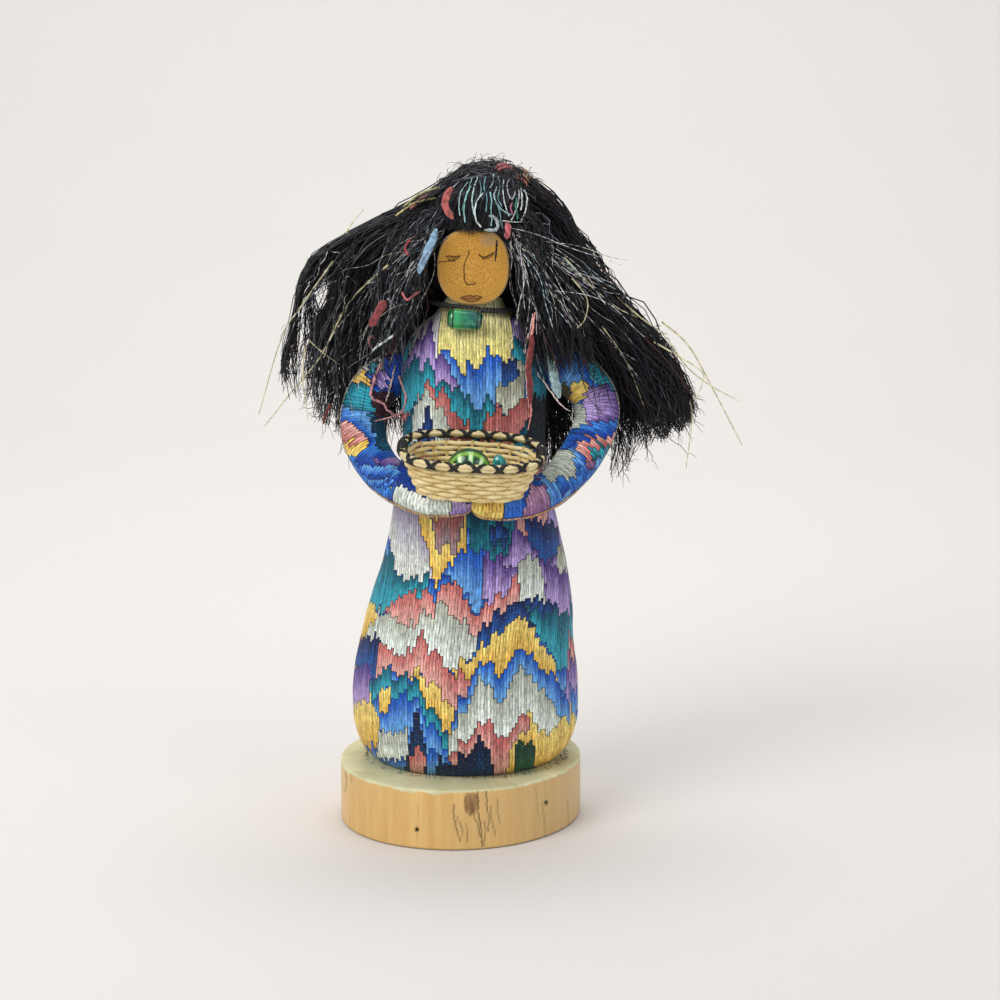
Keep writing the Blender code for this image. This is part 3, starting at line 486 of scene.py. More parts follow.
# Patches of one colour, from the ground up: (colours, outline). Outlines are places in the photo.
SKIRT = (
    (BLUE, ((330, 480), (610, 480), (610, 800), (330, 800))),
    (PURPLE, ((478, 490), (600, 490), (600, 600), (478, 600))),
    (YELLOW, ((350, 596), (372, 600), (380, 618), (378, 650), (350, 660))),
    (GREY_CREAM, ((384, 500), (418, 500), (429, 530), (434, 575), (423, 583), (416, 583), (405, 580), (393, 573))),
    (YELLOW, ((416, 500), (474, 500), (466, 545), (441, 576), (433, 576), (425, 545))),
    (GREY_CORAL, ((429, 510), (465, 510), (455, 551), (447, 540), (440, 551))),
    (DARK_TEAL, ((465, 500), (519, 500), (510, 545), (491, 574), (470, 545))),
    (NAVY, ((488, 525), (510, 525), (504, 545), (492, 545))),
    (BLUE, ((441, 576), (450, 560), (462, 543), (472, 548), (482, 545), (492, 574), (488, 592), (481, 613), (470, 602),
        (462, 582), (453, 574))),
    (TEAL, ((376, 553), (393, 553), (394, 574), (405, 580), (428, 577), (428, 594), (405, 594), (395, 601), (382, 616),
        (368, 600))),
    (DEEP_BLUE, ((428, 577), (441, 576), (453, 574), (448, 582), (428, 594))),
    (PURPLE, ((482, 556), (500, 562), (520, 568), (552, 556), (552, 576), (530, 590), (512, 587), (500, 599),
        (488, 607), (482, 600))),
    (CORAL, ((517, 500), (548, 500), (548, 545), (536, 551), (526, 540), (517, 530))),
    (NAVY, ((524, 522), (558, 522), (561, 556), (542, 561), (529, 546))),
    (BEIGE, ((557, 541), (573, 541), (576, 594), (557, 594))),
    (CREAM, ((519, 563), (531, 560), (541, 565), (546, 601), (519, 605), (515, 585))),
    (PURPLE, ((545, 562), (558, 570), (572, 562), (574, 606), (560, 623), (545, 610))),
    (CORAL, ((382, 614), (395, 600), (405, 594), (428, 593), (448, 582), (453, 573), (462, 584), (465, 600),
        (478, 613), (488, 606), (500, 598), (510, 587), (515, 570), (519, 584), (519, 604), (510, 603), (500, 613),
        (483, 629), (478, 636), (465, 620), (448, 606), (438, 598), (428, 613), (417, 620), (405, 629), (402, 622),
        (388, 614))),
    (CREAM, ((376, 618), (388, 614), (402, 622), (405, 629), (417, 620), (428, 613), (438, 598), (448, 606),
        (465, 620), (478, 636), (476, 648), (466, 656), (455, 664), (448, 664), (431, 644), (422, 636), (414, 643),
        (404, 658), (378, 644), (364, 636))),
    (NAVY, ((476, 648), (478, 636), (483, 629), (500, 613), (510, 603), (519, 604), (548, 600), (562, 612), (550, 645),
        (531, 629), (519, 618), (509, 622), (490, 643))),
    (TEAL, ((524, 610), (545, 614), (572, 606), (577, 640), (572, 666), (557, 666), (548, 648), (536, 632))),
    (YELLOW, ((452, 663), (474, 653), (490, 643), (509, 622), (519, 618), (531, 629), (545, 648), (556, 665),
        (558, 678), (545, 672), (534, 660), (517, 651), (500, 675), (486, 662), (471, 675), (455, 671))),
    (NAVY, ((356, 636), (378, 640), (388, 650), (390, 665), (376, 680), (356, 672))),
    (PURPLE, ((350, 662), (362, 668), (371, 662), (371, 700), (350, 708))),
    (CORAL, ((378, 643), (404, 658), (414, 643), (422, 636), (431, 644), (448, 664), (455, 670), (472, 674),
        (465, 692), (455, 703), (441, 689), (428, 675), (414, 670), (402, 680), (390, 665), (376, 680))),
    (YELLOW, ((408, 670), (428, 675), (441, 689), (455, 703), (453, 732), (441, 720), (431, 703), (419, 686))),
    (TEAL, ((369, 690), (388, 665), (395, 682), (405, 675), (419, 686), (431, 703), (441, 720), (452, 732), (452, 749),
        (441, 737), (431, 720), (419, 703), (405, 692), (395, 699), (388, 685), (371, 706))),
    (BLUE, ((377, 700), (388, 685), (395, 699), (405, 692), (419, 703), (431, 720), (441, 737), (452, 749), (440, 755),
        (428, 742), (417, 712), (407, 736), (395, 738), (377, 728))),
    (DARK_NAVY, ((404, 780), (407, 748), (416, 713), (426, 745), (431, 780))),
    (YELLOW, ((350, 706), (371, 700), (379, 720), (379, 750), (364, 748), (350, 735))),
    (YELLOW, ((379, 689), (391, 689), (390, 713), (379, 713))),
    (CREAM, ((378, 732), (407, 732), (408, 760), (376, 760))),
    (CORAL, ((409, 751), (425, 751), (425, 780), (409, 780))),
    (BLUE, ((452, 718), (465, 692), (471, 674), (486, 662), (500, 675), (517, 651), (534, 660), (545, 672), (558, 677),
        (568, 700), (562, 713), (553, 705), (543, 689), (527, 677), (519, 670), (510, 684), (502, 703), (491, 692),
        (481, 679), (472, 692), (465, 708), (450, 732))),
    (CREAM, ((448, 732), (465, 708), (472, 692), (481, 679), (491, 692), (502, 703), (510, 684), (519, 670),
        (527, 677), (543, 689), (553, 705), (562, 713), (560, 722), (550, 737), (538, 727), (527, 713), (519, 723),
        (508, 737), (495, 732), (486, 722), (476, 729), (465, 737), (448, 751))),
    (DARK_NAVY, ((438, 752), (452, 760), (465, 751), (483, 739), (490, 755), (495, 785), (436, 785))),
    (CORAL, ((448, 750), (465, 737), (476, 729), (486, 722), (495, 732), (508, 737), (519, 723), (527, 713),
        (531, 733), (519, 739), (510, 751), (505, 785), (495, 785), (488, 751), (483, 739), (465, 751), (452, 761))),
    (YELLOW, ((527, 713), (538, 727), (550, 737), (562, 713), (577, 700), (576, 745), (560, 785), (505, 785),
        (510, 751), (519, 739), (530, 733))),
    (GREEN, ((514, 746), (534, 746), (534, 785), (514, 785))),
    (CORAL, ((568, 640), (584, 640), (584, 661), (568, 661))),
    (PURPLE, ((566, 661), (584, 661), (584, 693), (566, 693))),
    (BLUE, ((562, 693), (584, 693), (582, 716), (562, 713))),
)
CHEST = (
    (PALE_YELLOW, ((430, 290), (506, 290), (514, 340), (511, 356), (501, 364), (489, 351), (482, 362), (470, 362),
        (462, 369), (452, 349), (439, 349), (434, 330))),
    (WHITE_GREY, ((408, 352), (424, 312), (442, 300), (437, 348), (431, 325), (413, 350))),
    (PURPLE, ((399, 376), (413, 348), (431, 323), (437, 347), (452, 367), (462, 387), (463, 392), (459, 381),
        (447, 384), (436, 374), (433, 362), (422, 367), (415, 357))),
    (BLUE, ((439, 349), (452, 349), (462, 369), (470, 362), (482, 362), (489, 351), (501, 364), (504, 382), (497, 408),
        (490, 397), (482, 408), (470, 401), (462, 387), (452, 367))),
    (NAVY, ((502, 360), (517, 358), (519, 379), (507, 387), (502, 382))),
    (TEAL, ((398, 380), (415, 357), (422, 367), (433, 362), (436, 374), (447, 384), (459, 381), (470, 400), (482, 407),
        (490, 397), (498, 408), (492, 414), (483, 424), (475, 440), (470, 425), (461, 413), (452, 404), (443, 388),
        (434, 383), (426, 385), (418, 398), (407, 414), (396, 414))),
    (CREAM, ((412, 414), (418, 398), (426, 388), (436, 390), (447, 410), (458, 445), (410, 445))),
    (DEEP_CORAL, ((423, 388), (434, 383), (443, 388), (452, 404), (461, 413), (470, 425), (475, 445), (455, 445),
        (446, 415), (436, 394), (428, 396))),
    (BEIGE, ((497, 394), (503, 384), (512, 381), (525, 372), (525, 402), (508, 412), (497, 409))),
    (DEEP_CORAL, ((476, 445), (483, 424), (492, 414), (505, 412), (524, 400), (530, 420), (512, 445))),
    (NAVY, ((416, 445), (421, 424), (427, 409), (433, 424), (438, 445))),
    (DARK_TEAL, ((526, 330), (580, 320), (580, 400), (530, 400))),
    # painted shade between the body's right side and the right arm
    (PAINTED_SHADE, ((530, 398), (580, 398), (580, 450), (524, 450), (529, 420))),
    (YELLOW, ((560, 380), (575, 372), (592, 378), (590, 400), (572, 410), (562, 400))),
)
LEFT_SLEEVE = (
    (DEEP_BLUE, ((330, 350), (480, 350), (480, 530), (330, 530))),
    (WHITE_GREY, ((354, 350), (384, 350), (384, 374), (366, 372), (358, 362))),
    (YELLOW, ((338, 350), (358, 360), (365, 373), (372, 384), (360, 383), (350, 386), (336, 385))),
    (TEAL, ((366, 360), (376, 358), (376, 372), (367, 372))),
    (PURPLE, ((367, 371), (384, 366), (388, 380), (382, 388), (372, 384))),
    (TEAL, ((336, 385), (350, 386), (360, 382), (371, 386), (374, 400), (372, 419), (352, 416), (336, 403))),
    (BLUE, ((336, 399), (350, 408), (372, 414), (380, 437), (367, 438), (352, 425), (336, 424))),
    (DARK_TEAL, ((372, 418), (388, 420), (392, 448), (378, 448))),
    # maroon darkened with painted shade where the arm meets the body
    (MAROON_IN_SHADE, ((373, 392), (392, 388), (394, 414), (388, 419), (374, 417))),
    (CORAL, ((334, 424), (351, 424), (359, 430), (367, 438), (359, 442), (352, 446), (336, 446))),
    (YELLOW, ((336, 448), (351, 444), (359, 441), (368, 437), (372, 441), (363, 450), (357, 456), (340, 460))),
    (PURPLE, ((372, 458), (386, 457), (399, 459), (401, 466), (386, 467), (374, 464))),
    (BLUE, ((356, 463), (374, 466), (396, 466), (402, 474), (384, 478), (360, 474))),
    (BLUE, ((364, 480), (396, 480), (398, 486), (370, 488))),
    (CREAM, ((393, 490), (402, 484), (420, 496), (451, 500), (452, 524), (390, 524))),
    (PURPLE, ((449, 500), (468, 498), (470, 516), (450, 518))),
)
RIGHT_SLEEVE = (
    (BLUE, ((455, 350), (630, 350), (630, 540), (455, 540))),
    (TEAL, ((586, 350), (625, 350), (620, 392), (606, 390), (596, 384), (586, 372))),
    (PURPLE, ((586, 390), (600, 388), (626, 392), (626, 424), (604, 421), (584, 424))),
    (YELLOW, ((570, 384), (580, 378), (590, 386), (588, 402), (578, 408), (569, 400))),
    (OLIVE, ((558, 386), (569, 386), (570, 404), (558, 404))),
    (CREAM, ((566, 408), (584, 406), (585, 428), (566, 430))),
    (DEEP_BLUE, ((562, 428), (584, 421), (626, 418), (622, 430), (600, 438), (562, 450))),
    (CORAL, ((574, 448), (584, 442), (596, 437), (626, 426), (622, 444), (601, 450), (593, 455), (593, 462),
        (586, 461), (582, 453))),
    (TEAL, ((592, 451), (602, 446), (612, 446), (606, 460), (592, 463))),
    (MAUVE, ((586, 462), (596, 460), (594, 472), (586, 470))),
    (CREAM, ((544, 446), (556, 448), (572, 452), (577, 466), (574, 480), (556, 482), (544, 478))),
    (DEEP_BLUE, ((558, 480), (576, 476), (594, 468), (600, 480), (560, 500))),
    (MAUVE, ((524, 494), (536, 482), (548, 488), (553, 506), (536, 524), (520, 520))),
    (YELLOW, ((462, 496), (499, 496), (500, 520), (462, 520))),
)
GROUND = (TEAL, NAVY, CORAL, CREAM, BLUE, YELLOW, PURPLE, TEAL, BEIGE, DEEP_BLUE, CORAL, DARK_TEAL)


def inside(outline, places):
    """Which of the places lie inside a closed outline."""
    x, y = places[..., 0], places[..., 1]
    found = np.zeros(x.shape, bool)
    for (ax, ay), (bx, by) in zip(outline, outline[1:] + outline[:1]):
        if ay != by:
            found ^= ((ay > y) != (by > y)) & (x < (bx - ax) * (y - ay) / (by - ay) + ax)
    return found


def flames(places, wave=21.0, rise=30.0, band=19.0):
    """Number of the plain zigzag band that each place lies in, where no patch is given."""
    x, y = places[..., 0], places[..., 1]
    zigzag = np.abs(((x / wave) % 2.0) - 1.0) * rise + np.abs(((x / (wave * 2.7) + 0.3) % 2.0) - 1.0) * rise * 0.7
    return np.floor((y + zigzag) / band).astype(int) % len(GROUND)


def stitched(places, patches, seed, sideways=0.0, rough=1.0):
    """Colours and edge marks of a grid of stitches (columns x cells down) from their places in the photo."""
    random = np.random.default_rng(seed)
    columns, cells = places.shape[:2]
    # whole columns are moved up or down, so the steps between patches are ragged
    pairs = np.repeat(random.normal(0, 2.8, columns // 2 + 1), 2)[:columns]
    rise = pairs + random.normal(0, 2.6, columns)
    rise = rise + np.where(random.uniform(0, 1, columns) < 0.16, random.normal(0, 7.0, columns), 0.0)
    rise = rise * rough
    ragged = places + np.stack((rise * sideways, rise), -1)[:, None, :]
    patch = flames(ragged)
    palette = list(GROUND)
    for colours, outline in patches:
        palette.append(colours)
        patch[inside(outline, ragged)] = len(palette) - 1
    tops, feet = (np.array([[linear(v) for v in colours[end]] for colours in palette]) for end in (0, 1))
    # how far down its run of one patch each cell is
    shortest_fade = 5
    share = np.zeros((columns, cells))
    for column, row in enumerate(patch):
        start = 0
        for cell in range(1, cells + 1):
            if cell == cells or row[cell] != row[start]:
                share[column, start:cell] = (np.arange(cell - start) + 0.5) / max(cell - start, shortest_fade)
                start = cell
    share = np.clip(share, 0, 1)
    share = share * share * (3 - 2 * share)
    colour = tops[patch] + (feet[patch] - tops[patch]) * share[..., None]
    colour *= 1 + random.normal(0, 0.13, (columns, 1, 1)) + random.normal(0, 0.06, (columns, cells, 1))
    left, right, upper, lower = marks = np.zeros((4, columns, cells))
    left[1:] = right[:-1] = patch[1:] != patch[:-1]
    upper[:, 1:] = lower[:, :-1] = patch[:, 1:] != patch[:, :-1]
    return np.clip(colour, 0.0, 1.0), np.moveaxis(marks, 0, -1)


def cloth_material():
    """Satin flame stitch: its colours are on the mesh, and the shader gives thread, heather and outlines."""
    cloth = Material("flame_stitch", roughness=0.60, specular=0.22, sheen=0.04)
    colour = cloth.attribute("stitch")
    left, right, upper, lower = cloth.channels("edges")
    coordinates = cloth.nodes.new("ShaderNodeUVMap")
    coordinates.uv_map = "cells"
    across, down, _ = cloth.split(coordinates.outputs[0])
    wobble = cloth.noise(700.0, detail=1)
    width = cloth.math("MULTIPLY_ADD", wobble, 0.20, 0.06)
    far = cloth.math("SUBTRACT", 1.0, width)
    line = cloth.math("MULTIPLY", left, cloth.math("LESS_THAN", across, width))
    others = (right, across, "GREATER_THAN", far), (upper, down, "LESS_THAN", width), (lower, down, "GREATER_THAN", far)
    for mark, place, side, limit in others:
        line = cloth.math("MAXIMUM", line, cloth.math("MULTIPLY", mark, cloth.math(side, place, limit)))
    # threads along each stitch, and the fleck of the heather
    turned = cloth.attribute("grain", "Vector")
    thread = cloth.noise((2.6, 0.35, 1.0), detail=2, rough=0.6, source=turned)
    fleck = cloth.noise((2.3, 1.5, 1.0), detail=1, rough=0.7, source=turned)
    shade = cloth.ramp(thread, (0.32, 0.34), (0.5, 0.90), (0.68, 1.42))
    colour = cloth.mix(0.85, colour, shade, "MULTIPLY")
    light = cloth.ramp(fleck, (0.62, 0.0), (0.78, 0.30))
    dark = cloth.ramp(fleck, (0.28, 0.5), (0.40, 0.0))
    colour = cloth.mix(light, colour, srgb(232, 228, 222))
    colour = cloth.mix(dark, colour, cloth.mix(0.8, colour, srgb(24, 22, 40)))
    groove = cloth.ramp(cloth.math("ABSOLUTE", cloth.math("SUBTRACT", across, 0.5)), (0.34, 0.0), (0.5, 0.62))
    colour = cloth.mix(groove, colour, cloth.mix(0.75, colour, srgb(20, 18, 34)))
    colour = cloth.mix(cloth.math("MULTIPLY", line, 0.9), colour, srgb(24, 22, 40))
    cloth.base(colour)
    # each column of stitches is a rounded ridge of threads, and the outlines lie deeper
    ridge = cloth.math("MAXIMUM", cloth.math("SINE", cloth.math("MULTIPLY", across, math.pi)), 0.001)
    height = cloth.math("ADD", cloth.math("POWER", ridge, 0.6), cloth.math("MULTIPLY", thread, 0.8))
    height = cloth.math("SUBTRACT", height, cloth.math("MULTIPLY", line, 0.6))
    cloth.bump(height, 0.00035, 0.8)
    return cloth


class Corners:
    """What each face corner of the cloth carries: colour and edge marks of its stitch, place in its cell, grain."""

    def __init__(self):
        self.rows = []

    def add(self, colour, marks, place, grain):
        self.rows.append((*colour, *marks, *place, *grain))

    def add_plain(self, colour, grain):
        """The three corners of a face that closes an end."""
        for _ in range(3):
            self.add(colour, (0, 0, 0, 0), (0.5, 0.5), grain)

    def write(self, obj):
        rows = np.array(self.rows, np.float32)
        stitch = np.concatenate((rows[:, :3], np.ones((len(rows), 1), np.float32)), 1)
        write_colours(obj, "stitch", stitch, "CORNER")
        write_colours(obj, "edges", rows[:, 3:7], "CORNER")
        grain = obj.data.attributes.new("grain", "FLOAT_VECTOR", "CORNER")
        grain.data.foreach_set("vector", rows[:, 9:].ravel())
        cells = obj.data.uv_layers.new(name="cells")
        cells.data.foreach_set("uv", rows[:, 7:9].ravel())


# width of a column of stitches and height of a cell of it
STITCH = 0.0016
CELL = 0.0011


def make_body(cloth):
    """The sewn bag: a front and a back panel of upright stitch columns that meet in a seam down each side."""
    rows = int(round(BODY_HEIGHT / CELL))
    heights = np.linspace(BODY_HEIGHT, 0.0, rows + 1)
    limits = body_half(heights) * QUARTER_REACH[-1]
    columns = int(math.ceil(limits.max() / STITCH))
    edges = np.arange(-columns, columns + 1) * STITCH
    points = []
    seam = {}
    for side in (-1, 1):
        for row in range(rows + 1):
            seam[side, row] = len(points)
            points.append(on_body(np.array(side * limits[row]), heights[row], True))
    faces, cloth_corners = [], Corners()
    for front in (True, False):
        grid = np.full((len(edges), rows + 1), -1, int)
        reach = np.clip(edges[:, None], -limits[None, :], limits[None, :])
        place = on_body(reach, np.broadcast_to(heights, reach.shape), front)
        for i, edge in enumerate(edges):
            for row in range(rows + 1):
                if abs(edge) >= limits[row] - STITCH * 0.12:
                    grid[i, row] = seam[-1 if edge < 0 else 1, row]
                else:
                    grid[i, row] = len(points)
                    points.append(place[i, row])
        middle = (place[:-1, :-1] + place[1:, :-1] + place[:-1, 1:] + place[1:, 1:]) / 4
        # every cell of a column is read at the column's own middle, so that steps are square
        photo = in_photo(middle)
        if front:
            tone, mark = stitched(photo, SKIRT + CHEST, 11)
        else:
            # the back has the front's patches, mirrored and a little lower
            photo[..., 0] = 930 - photo[..., 0]
            photo[..., 1] += 34
            tone, mark = stitched(photo, SKIRT[3:], 12)
        for i in range(len(edges) - 1):
            for row in range(rows):
                corners = ((i, row), (i, row + 1), (i + 1, row + 1), (i + 1, row))
                ids = [grid[c] for c in corners]
                kept = [k for k in range(4) if ids[k] != ids[k - 1]]
                if len(kept) < 3 or len(set(ids)) < 3:
                    continue
                order = kept if front else kept[::-1]
                faces.append([ids[k] for k in order])
                for k in order:
                    a, b = corners[k]
                    grain = (a + (500 if front else 900), b * CELL / STITCH, 0.0)
                    cloth_corners.add(tone[i, row], mark[i, row], (a - i, b - row), grain)
    points = np.array(points)
    # soft lumps of the stuffing, and the pull of the seams at the sides
    middle = np.stack((body_axis(points[:, 2] - BASE_TOP), np.zeros(len(points)), points[:, 2]), -1)
    outward = points - middle
    outward[:, 2] = 0
    outward = unit(outward)
    lumps = np.array([noise.noise(Vector(p) * 34.0) + 0.5 * noise.noise(Vector(p) * 80.0) for p in points])
    near_seam = np.exp(-((points[:, 1] / 0.0035) ** 2))
    share = (points[:, 2] - BASE_TOP) / BODY_HEIGHT
    calm = np.clip(share / 0.02, 0, 1) * np.clip((1 - share) / 0.03, 0, 1)
    points = points + outward * ((lumps * 0.0007 - near_seam * 0.0009) * calm)[:, None]
    # underside and neck are closed by a fan
    points = points.tolist()
    turns = 40
    for row, face_up in ((rows, False), (0, True)):
        hub = len(points)
        height = heights[row]
        axis, level = float(body_axis(height)), BASE_TOP + float(height)
        half = float(body_half(height)) * 0.985
        points.append([axis, 0.0, level])
        for step in range(turns):
            angle = 2 * math.pi * step / turns
            points.append([axis + half * math.cos(angle), half * BODY_DEPTH_SHARE * math.sin(angle), level])
            face = [hub, hub + 1 + step, hub + 1 + (step + 1) % turns]
            faces.append(face if face_up else face[::-1])
            cloth_corners.add_plain((0.02, 0.03, 0.08), (0.5, 0.5, 0.0))
    body = mesh_object("stuffed_body", points, faces, cloth)
    cloth_corners.write(body)
    ride(body, "body")


# ---------------------------------------------------------------- basket frame
# the rim's back just clears the front of the body
RIM_LEVEL = BODY_HEIGHT * 0.709
RIM_HALF = BASKET_WIDTH * BASKET_DEPTH_SHARE / 2 + BASKET_RIM_THICK / 2
RIM_BACK_LEVEL = RIM_LEVEL + RIM_HALF * math.sin(BASKET_TIP)
BODY_REACH = max(float(body_half(RIM_LEVEL)), float(body_half(RIM_BACK_LEVEL))) * BODY_DEPTH_SHARE
RIM_DEPTH = RIM_HALF * math.cos(BASKET_TIP) + BASKET_RIM_THICK / 2 * math.sin(BASKET_TIP)
RIM_MIDDLE = Vector((float(body_axis(RIM_LEVEL)) - 0.0004, -(BODY_REACH + GAP + RIM_DEPTH), BASE_TOP + RIM_LEVEL))
UNDERSIDE = RIM_MIDDLE - BASKET_TURN @ Vector((0, 0, 1)) * BASKET_HEIGHT
BASKET_PLACE = Matrix.Translation(UNDERSIDE) @ BASKET_TURN.to_4x4()


def in_basket(points):
    """Points of the basket's own frame, brought to where the basket is."""
    turn = np.array(BASKET_TURN)
    return np.asarray(points, float) @ turn.T + np.array(UNDERSIDE)


def basket_half(share):
    """Half-width of the basket at a share of its height."""
    low = BASKET_WIDTH * BASKET_FLOOR_SHARE / 2
    return low + (BASKET_WIDTH / 2 - low) * (0.6 * share + 0.4 * math.sin(max(share, 0.0) * math.pi / 2))


def basket_outline(angle):
    """Place on the basket's outline, for a half-width of 1."""
    reach = squared(angle, BASKET_SQUARENESS)
    return np.array((reach * math.cos(angle), reach * math.sin(angle) * BASKET_DEPTH_SHARE))


# ---------------------------------------------------------------- arms
def arm_route(shares, hand):
    """Places and radii along an arm, from the shoulder to the hand under the basket."""
    rows = []
    half = BODY_WIDTH / 2
    for side, front, height, radius in shares:
        level = height * BODY_HEIGHT
        rows.append((float(body_axis(level)) + side * half, front * half, BASE_TOP + level, radius * half))
    for side, front, height, radius in hand:
        rows.append((UNDERSIDE.x + side, UNDERSIDE.y + front, UNDERSIDE.z + height, radius))
    return rows


def clear_of_neighbours(point):
    """Moves a point of an arm to the face of the body or of the basket, if it lies inside one of them."""
    x, y, z = point
    height = z - BASE_TOP
    if 0 < height < BODY_HEIGHT:
        half = float(body_half(height))
        axis = float(body_axis(height))
        share = math.hypot((x - axis) / half, y / (half * BODY_DEPTH_SHARE))
        if 0.02 < share < 1.0:
            x = axis + (x - axis) / share * 0.998
            y = y / share * 0.998
    local = BASKET_TURN.transposed() @ (Vector((x, y, z)) - UNDERSIDE)
    if -GAP < local.z < BASKET_HEIGHT:
        edge = basket_outline(math.atan2(local.y, local.x)) * (basket_half(local.z / BASKET_HEIGHT) + GAP)
        reach = math.hypot(local.x, local.y)
        limit = float(np.hypot(*edge))
        if reach < limit:
            if local.z + GAP < (limit - reach) * 1.2:
                local.z = -GAP
            else:
                local.x *= limit / reach
                local.y *= limit / reach
            x, y, z = UNDERSIDE + BASKET_TURN @ local
    return (x, y, z)


def make_arm(name, node, rows, patches, cloth, seed, outward):
    """A stuffed tube of cloth whose stitches run round it, with a seam along its outer edge."""
    fine = catmull_rom(rows, 400)
    steps = np.linalg.norm(np.diff(fine[:, :3], axis=0), axis=1)
    length = np.concatenate(([0], np.cumsum(steps)))
    columns = int(length[-1] / STITCH)
    read = np.stack([np.interp(np.linspace(0, length[-1], columns + 1), length, fine[:, k]) for k in range(4)], -1)
    cells = 52
    along = unit(np.gradient(read[:, :3], axis=0))
    first = unit(np.cross(along, np.array((0.0, 1.0, 0.0))))
    second = np.cross(along, first)
    # the ring starts at the arm's outer edge, where the seam is
    sign = np.sign(np.sum(first * np.array(outward), -1).mean())
    turn = np.arange(cells) * 2 * math.pi / cells
    radius = read[:, 3]
    points = np.zeros((columns + 1, cells, 3))
    for i in range(columns + 1):
        for k in range(cells):
            way = first[i] * math.cos(turn[k]) * sign + second[i] * math.sin(turn[k])
            base = read[i, :3] + way * radius[i]
            lump = noise.noise(Vector(base) * 60.0) * 0.0005 + noise.noise(Vector(base) * 150.0) * 0.0002
            seam = math.exp(-((min(turn[k], 2 * math.pi - turn[k]) / 0.12) ** 2)) * 0.0006
            points[i, k] = clear_of_neighbours(base + way * (lump - seam))
    middle = (points[:-1] + points[1:] + np.roll(points[:-1], -1, 1) + np.roll(points[1:], -1, 1)) / 4
    photo = in_photo(middle)
    # an arm runs slantwise across the photo, so its jitter does too, and there is less of it
    tone, mark = stitched(photo, patches, seed, sideways=0.9, rough=0.5)
    # the seam is pale at the shoulder and orange under the hand
    low = np.clip((photo[:, :1, 1:] - 484) / 22, 0, 1)
    seam_cell = 1 + np.round(3 * low[:, 0, 0]).astype(int)
    pale, orange = (np.array([linear(v) for v in tint]) for tint in ((212, 208, 190), (224, 168, 92)))
    seam_tone = (pale + (orange - pale) * low) * np.random.default_rng(seed).uniform(0.6, 1.1, (columns, 1, 1))
    for i, first_cell in enumerate(seam_cell):
        tone[i, first_cell : first_cell + 2] = seam_tone[i]
        # the cells each side of the seam strip are darkened: painted shade along the seam
        tone[i, first_cell - 1] *= 0.7
        tone[i, first_cell + 2] *= 0.5
    # the last cell round lies in the seam's groove and is darkest: painted shade
    tone[:, -1] *= 0.45
    faces, cloth_corners = [], Corners()
    for i in range(columns):
        for k in range(cells):
            nxt = (k + 1) % cells
            faces.append([i * cells + k, i * cells + nxt, (i + 1) * cells + nxt, (i + 1) * cells + k])
            for a, b in ((0, 0), (0, 1), (1, 1), (1, 0)):
                cloth_corners.add(tone[i, k], mark[i, k], (a, b), (i + a + 40 * seed, (k + b) * 0.8, 0.0))
    flat = points.reshape(-1, 3).tolist()
    for i, shoulder in ((0, True), (columns, False)):
        hub = len(flat)
        centre = points[i].mean(0)
        flat.append([float(v) for v in (centre if shoulder else centre + along[i] * radius[i] * 0.8)])
        for k in range(cells):
            face = [hub, i * cells + k, i * cells + (k + 1) % cells]
            faces.append(face[::-1] if shoulder else face)
            cloth_corners.add_plain(tone[min(i, columns - 1), k], (i + 3.0, k * 0.8, 0.0))
    arm = mesh_object(name, flat, faces, cloth)
    cloth_corners.write(arm)
    ride(arm, node)


# ---------------------------------------------------------------- hair
HEAD_CENTRE = np.array((float(body_axis(BODY_HEIGHT)), 0.0, BASE_TOP + BODY_HEIGHT + GAP + HEAD_SIZE.z / 2 - 0.003))


def carrier_tree(names):
    """The surfaces of these CAD nodes, for rays to hit."""
    points, faces = [], []
    for name in names:
        mesh = NODES[name].data
        start = len(points)
        points += [vert.co.copy() for vert in mesh.vertices]
        faces += [[start + i for i in face.vertices] for face in mesh.polygons]
    return BVHTree.FromPolygons(points, faces)


CARRIERS = carrier_tree(("hair", "body", "arm_left", "arm_right", "head", "face"))
CLOTH_CARRIERS = carrier_tree(("body", "arm_left", "arm_right", "head", "face"))


# the hair's edge in the photo, the cloth and face that it leaves bare, and an oval gap in its left side
HAIR_EDGE = (
    (346, 440), (341, 434), (336, 420), (330, 406), (326, 424), (321, 420), (315, 402), (308, 390), (304, 404),
    (296, 398), (295, 378), (291, 372), (287, 380), (283, 374), (285, 357), (291, 340), (296, 322), (300, 309),
    (302, 297), (304, 285), (308, 273), (314, 261), (328, 251), (350, 239), (374, 227), (397, 215), (421, 203),
    (440, 192), (452, 180), (464, 171), (480, 166), (500, 165), (514, 168), (526, 176), (536, 186), (550, 198),
    (559, 210), (565, 223), (575, 236), (594, 249), (606, 260), (615, 272), (626, 285), (638, 297), (649, 309),
    (658, 321), (667, 333), (673, 345), (676, 357), (679, 369), (684, 381), (690, 393), (692, 405), (690, 418),
    (680, 430), (672, 424), (664, 438), (652, 432), (644, 446), (636, 440), (632, 452), (626, 472), (612, 487),
    (606, 478), (600, 500), (400, 500),
)
BARE = (
    (
        (435, 264), (433, 276), (424, 292), (410, 310), (402, 330), (394, 345), (378, 352), (362, 362), (352, 378),
        (346, 400), (344, 440), (400, 470), (472, 470), (472, 264),
    ),
    (
        (472, 264), (506, 264), (509, 292), (515, 318), (521, 344), (540, 352), (562, 350), (583, 352), (600, 364),
        (611, 382), (617, 408), (618, 450), (560, 470), (472, 470),
    ),
)
GAP_MIDDLE = np.array((320.0, 298.0))
GAP_HALF = np.array((9.5, 26.0))
GAP_ALONG = np.array((-0.30, 0.954))
GAP_ACROSS = np.array((0.954, 0.30))


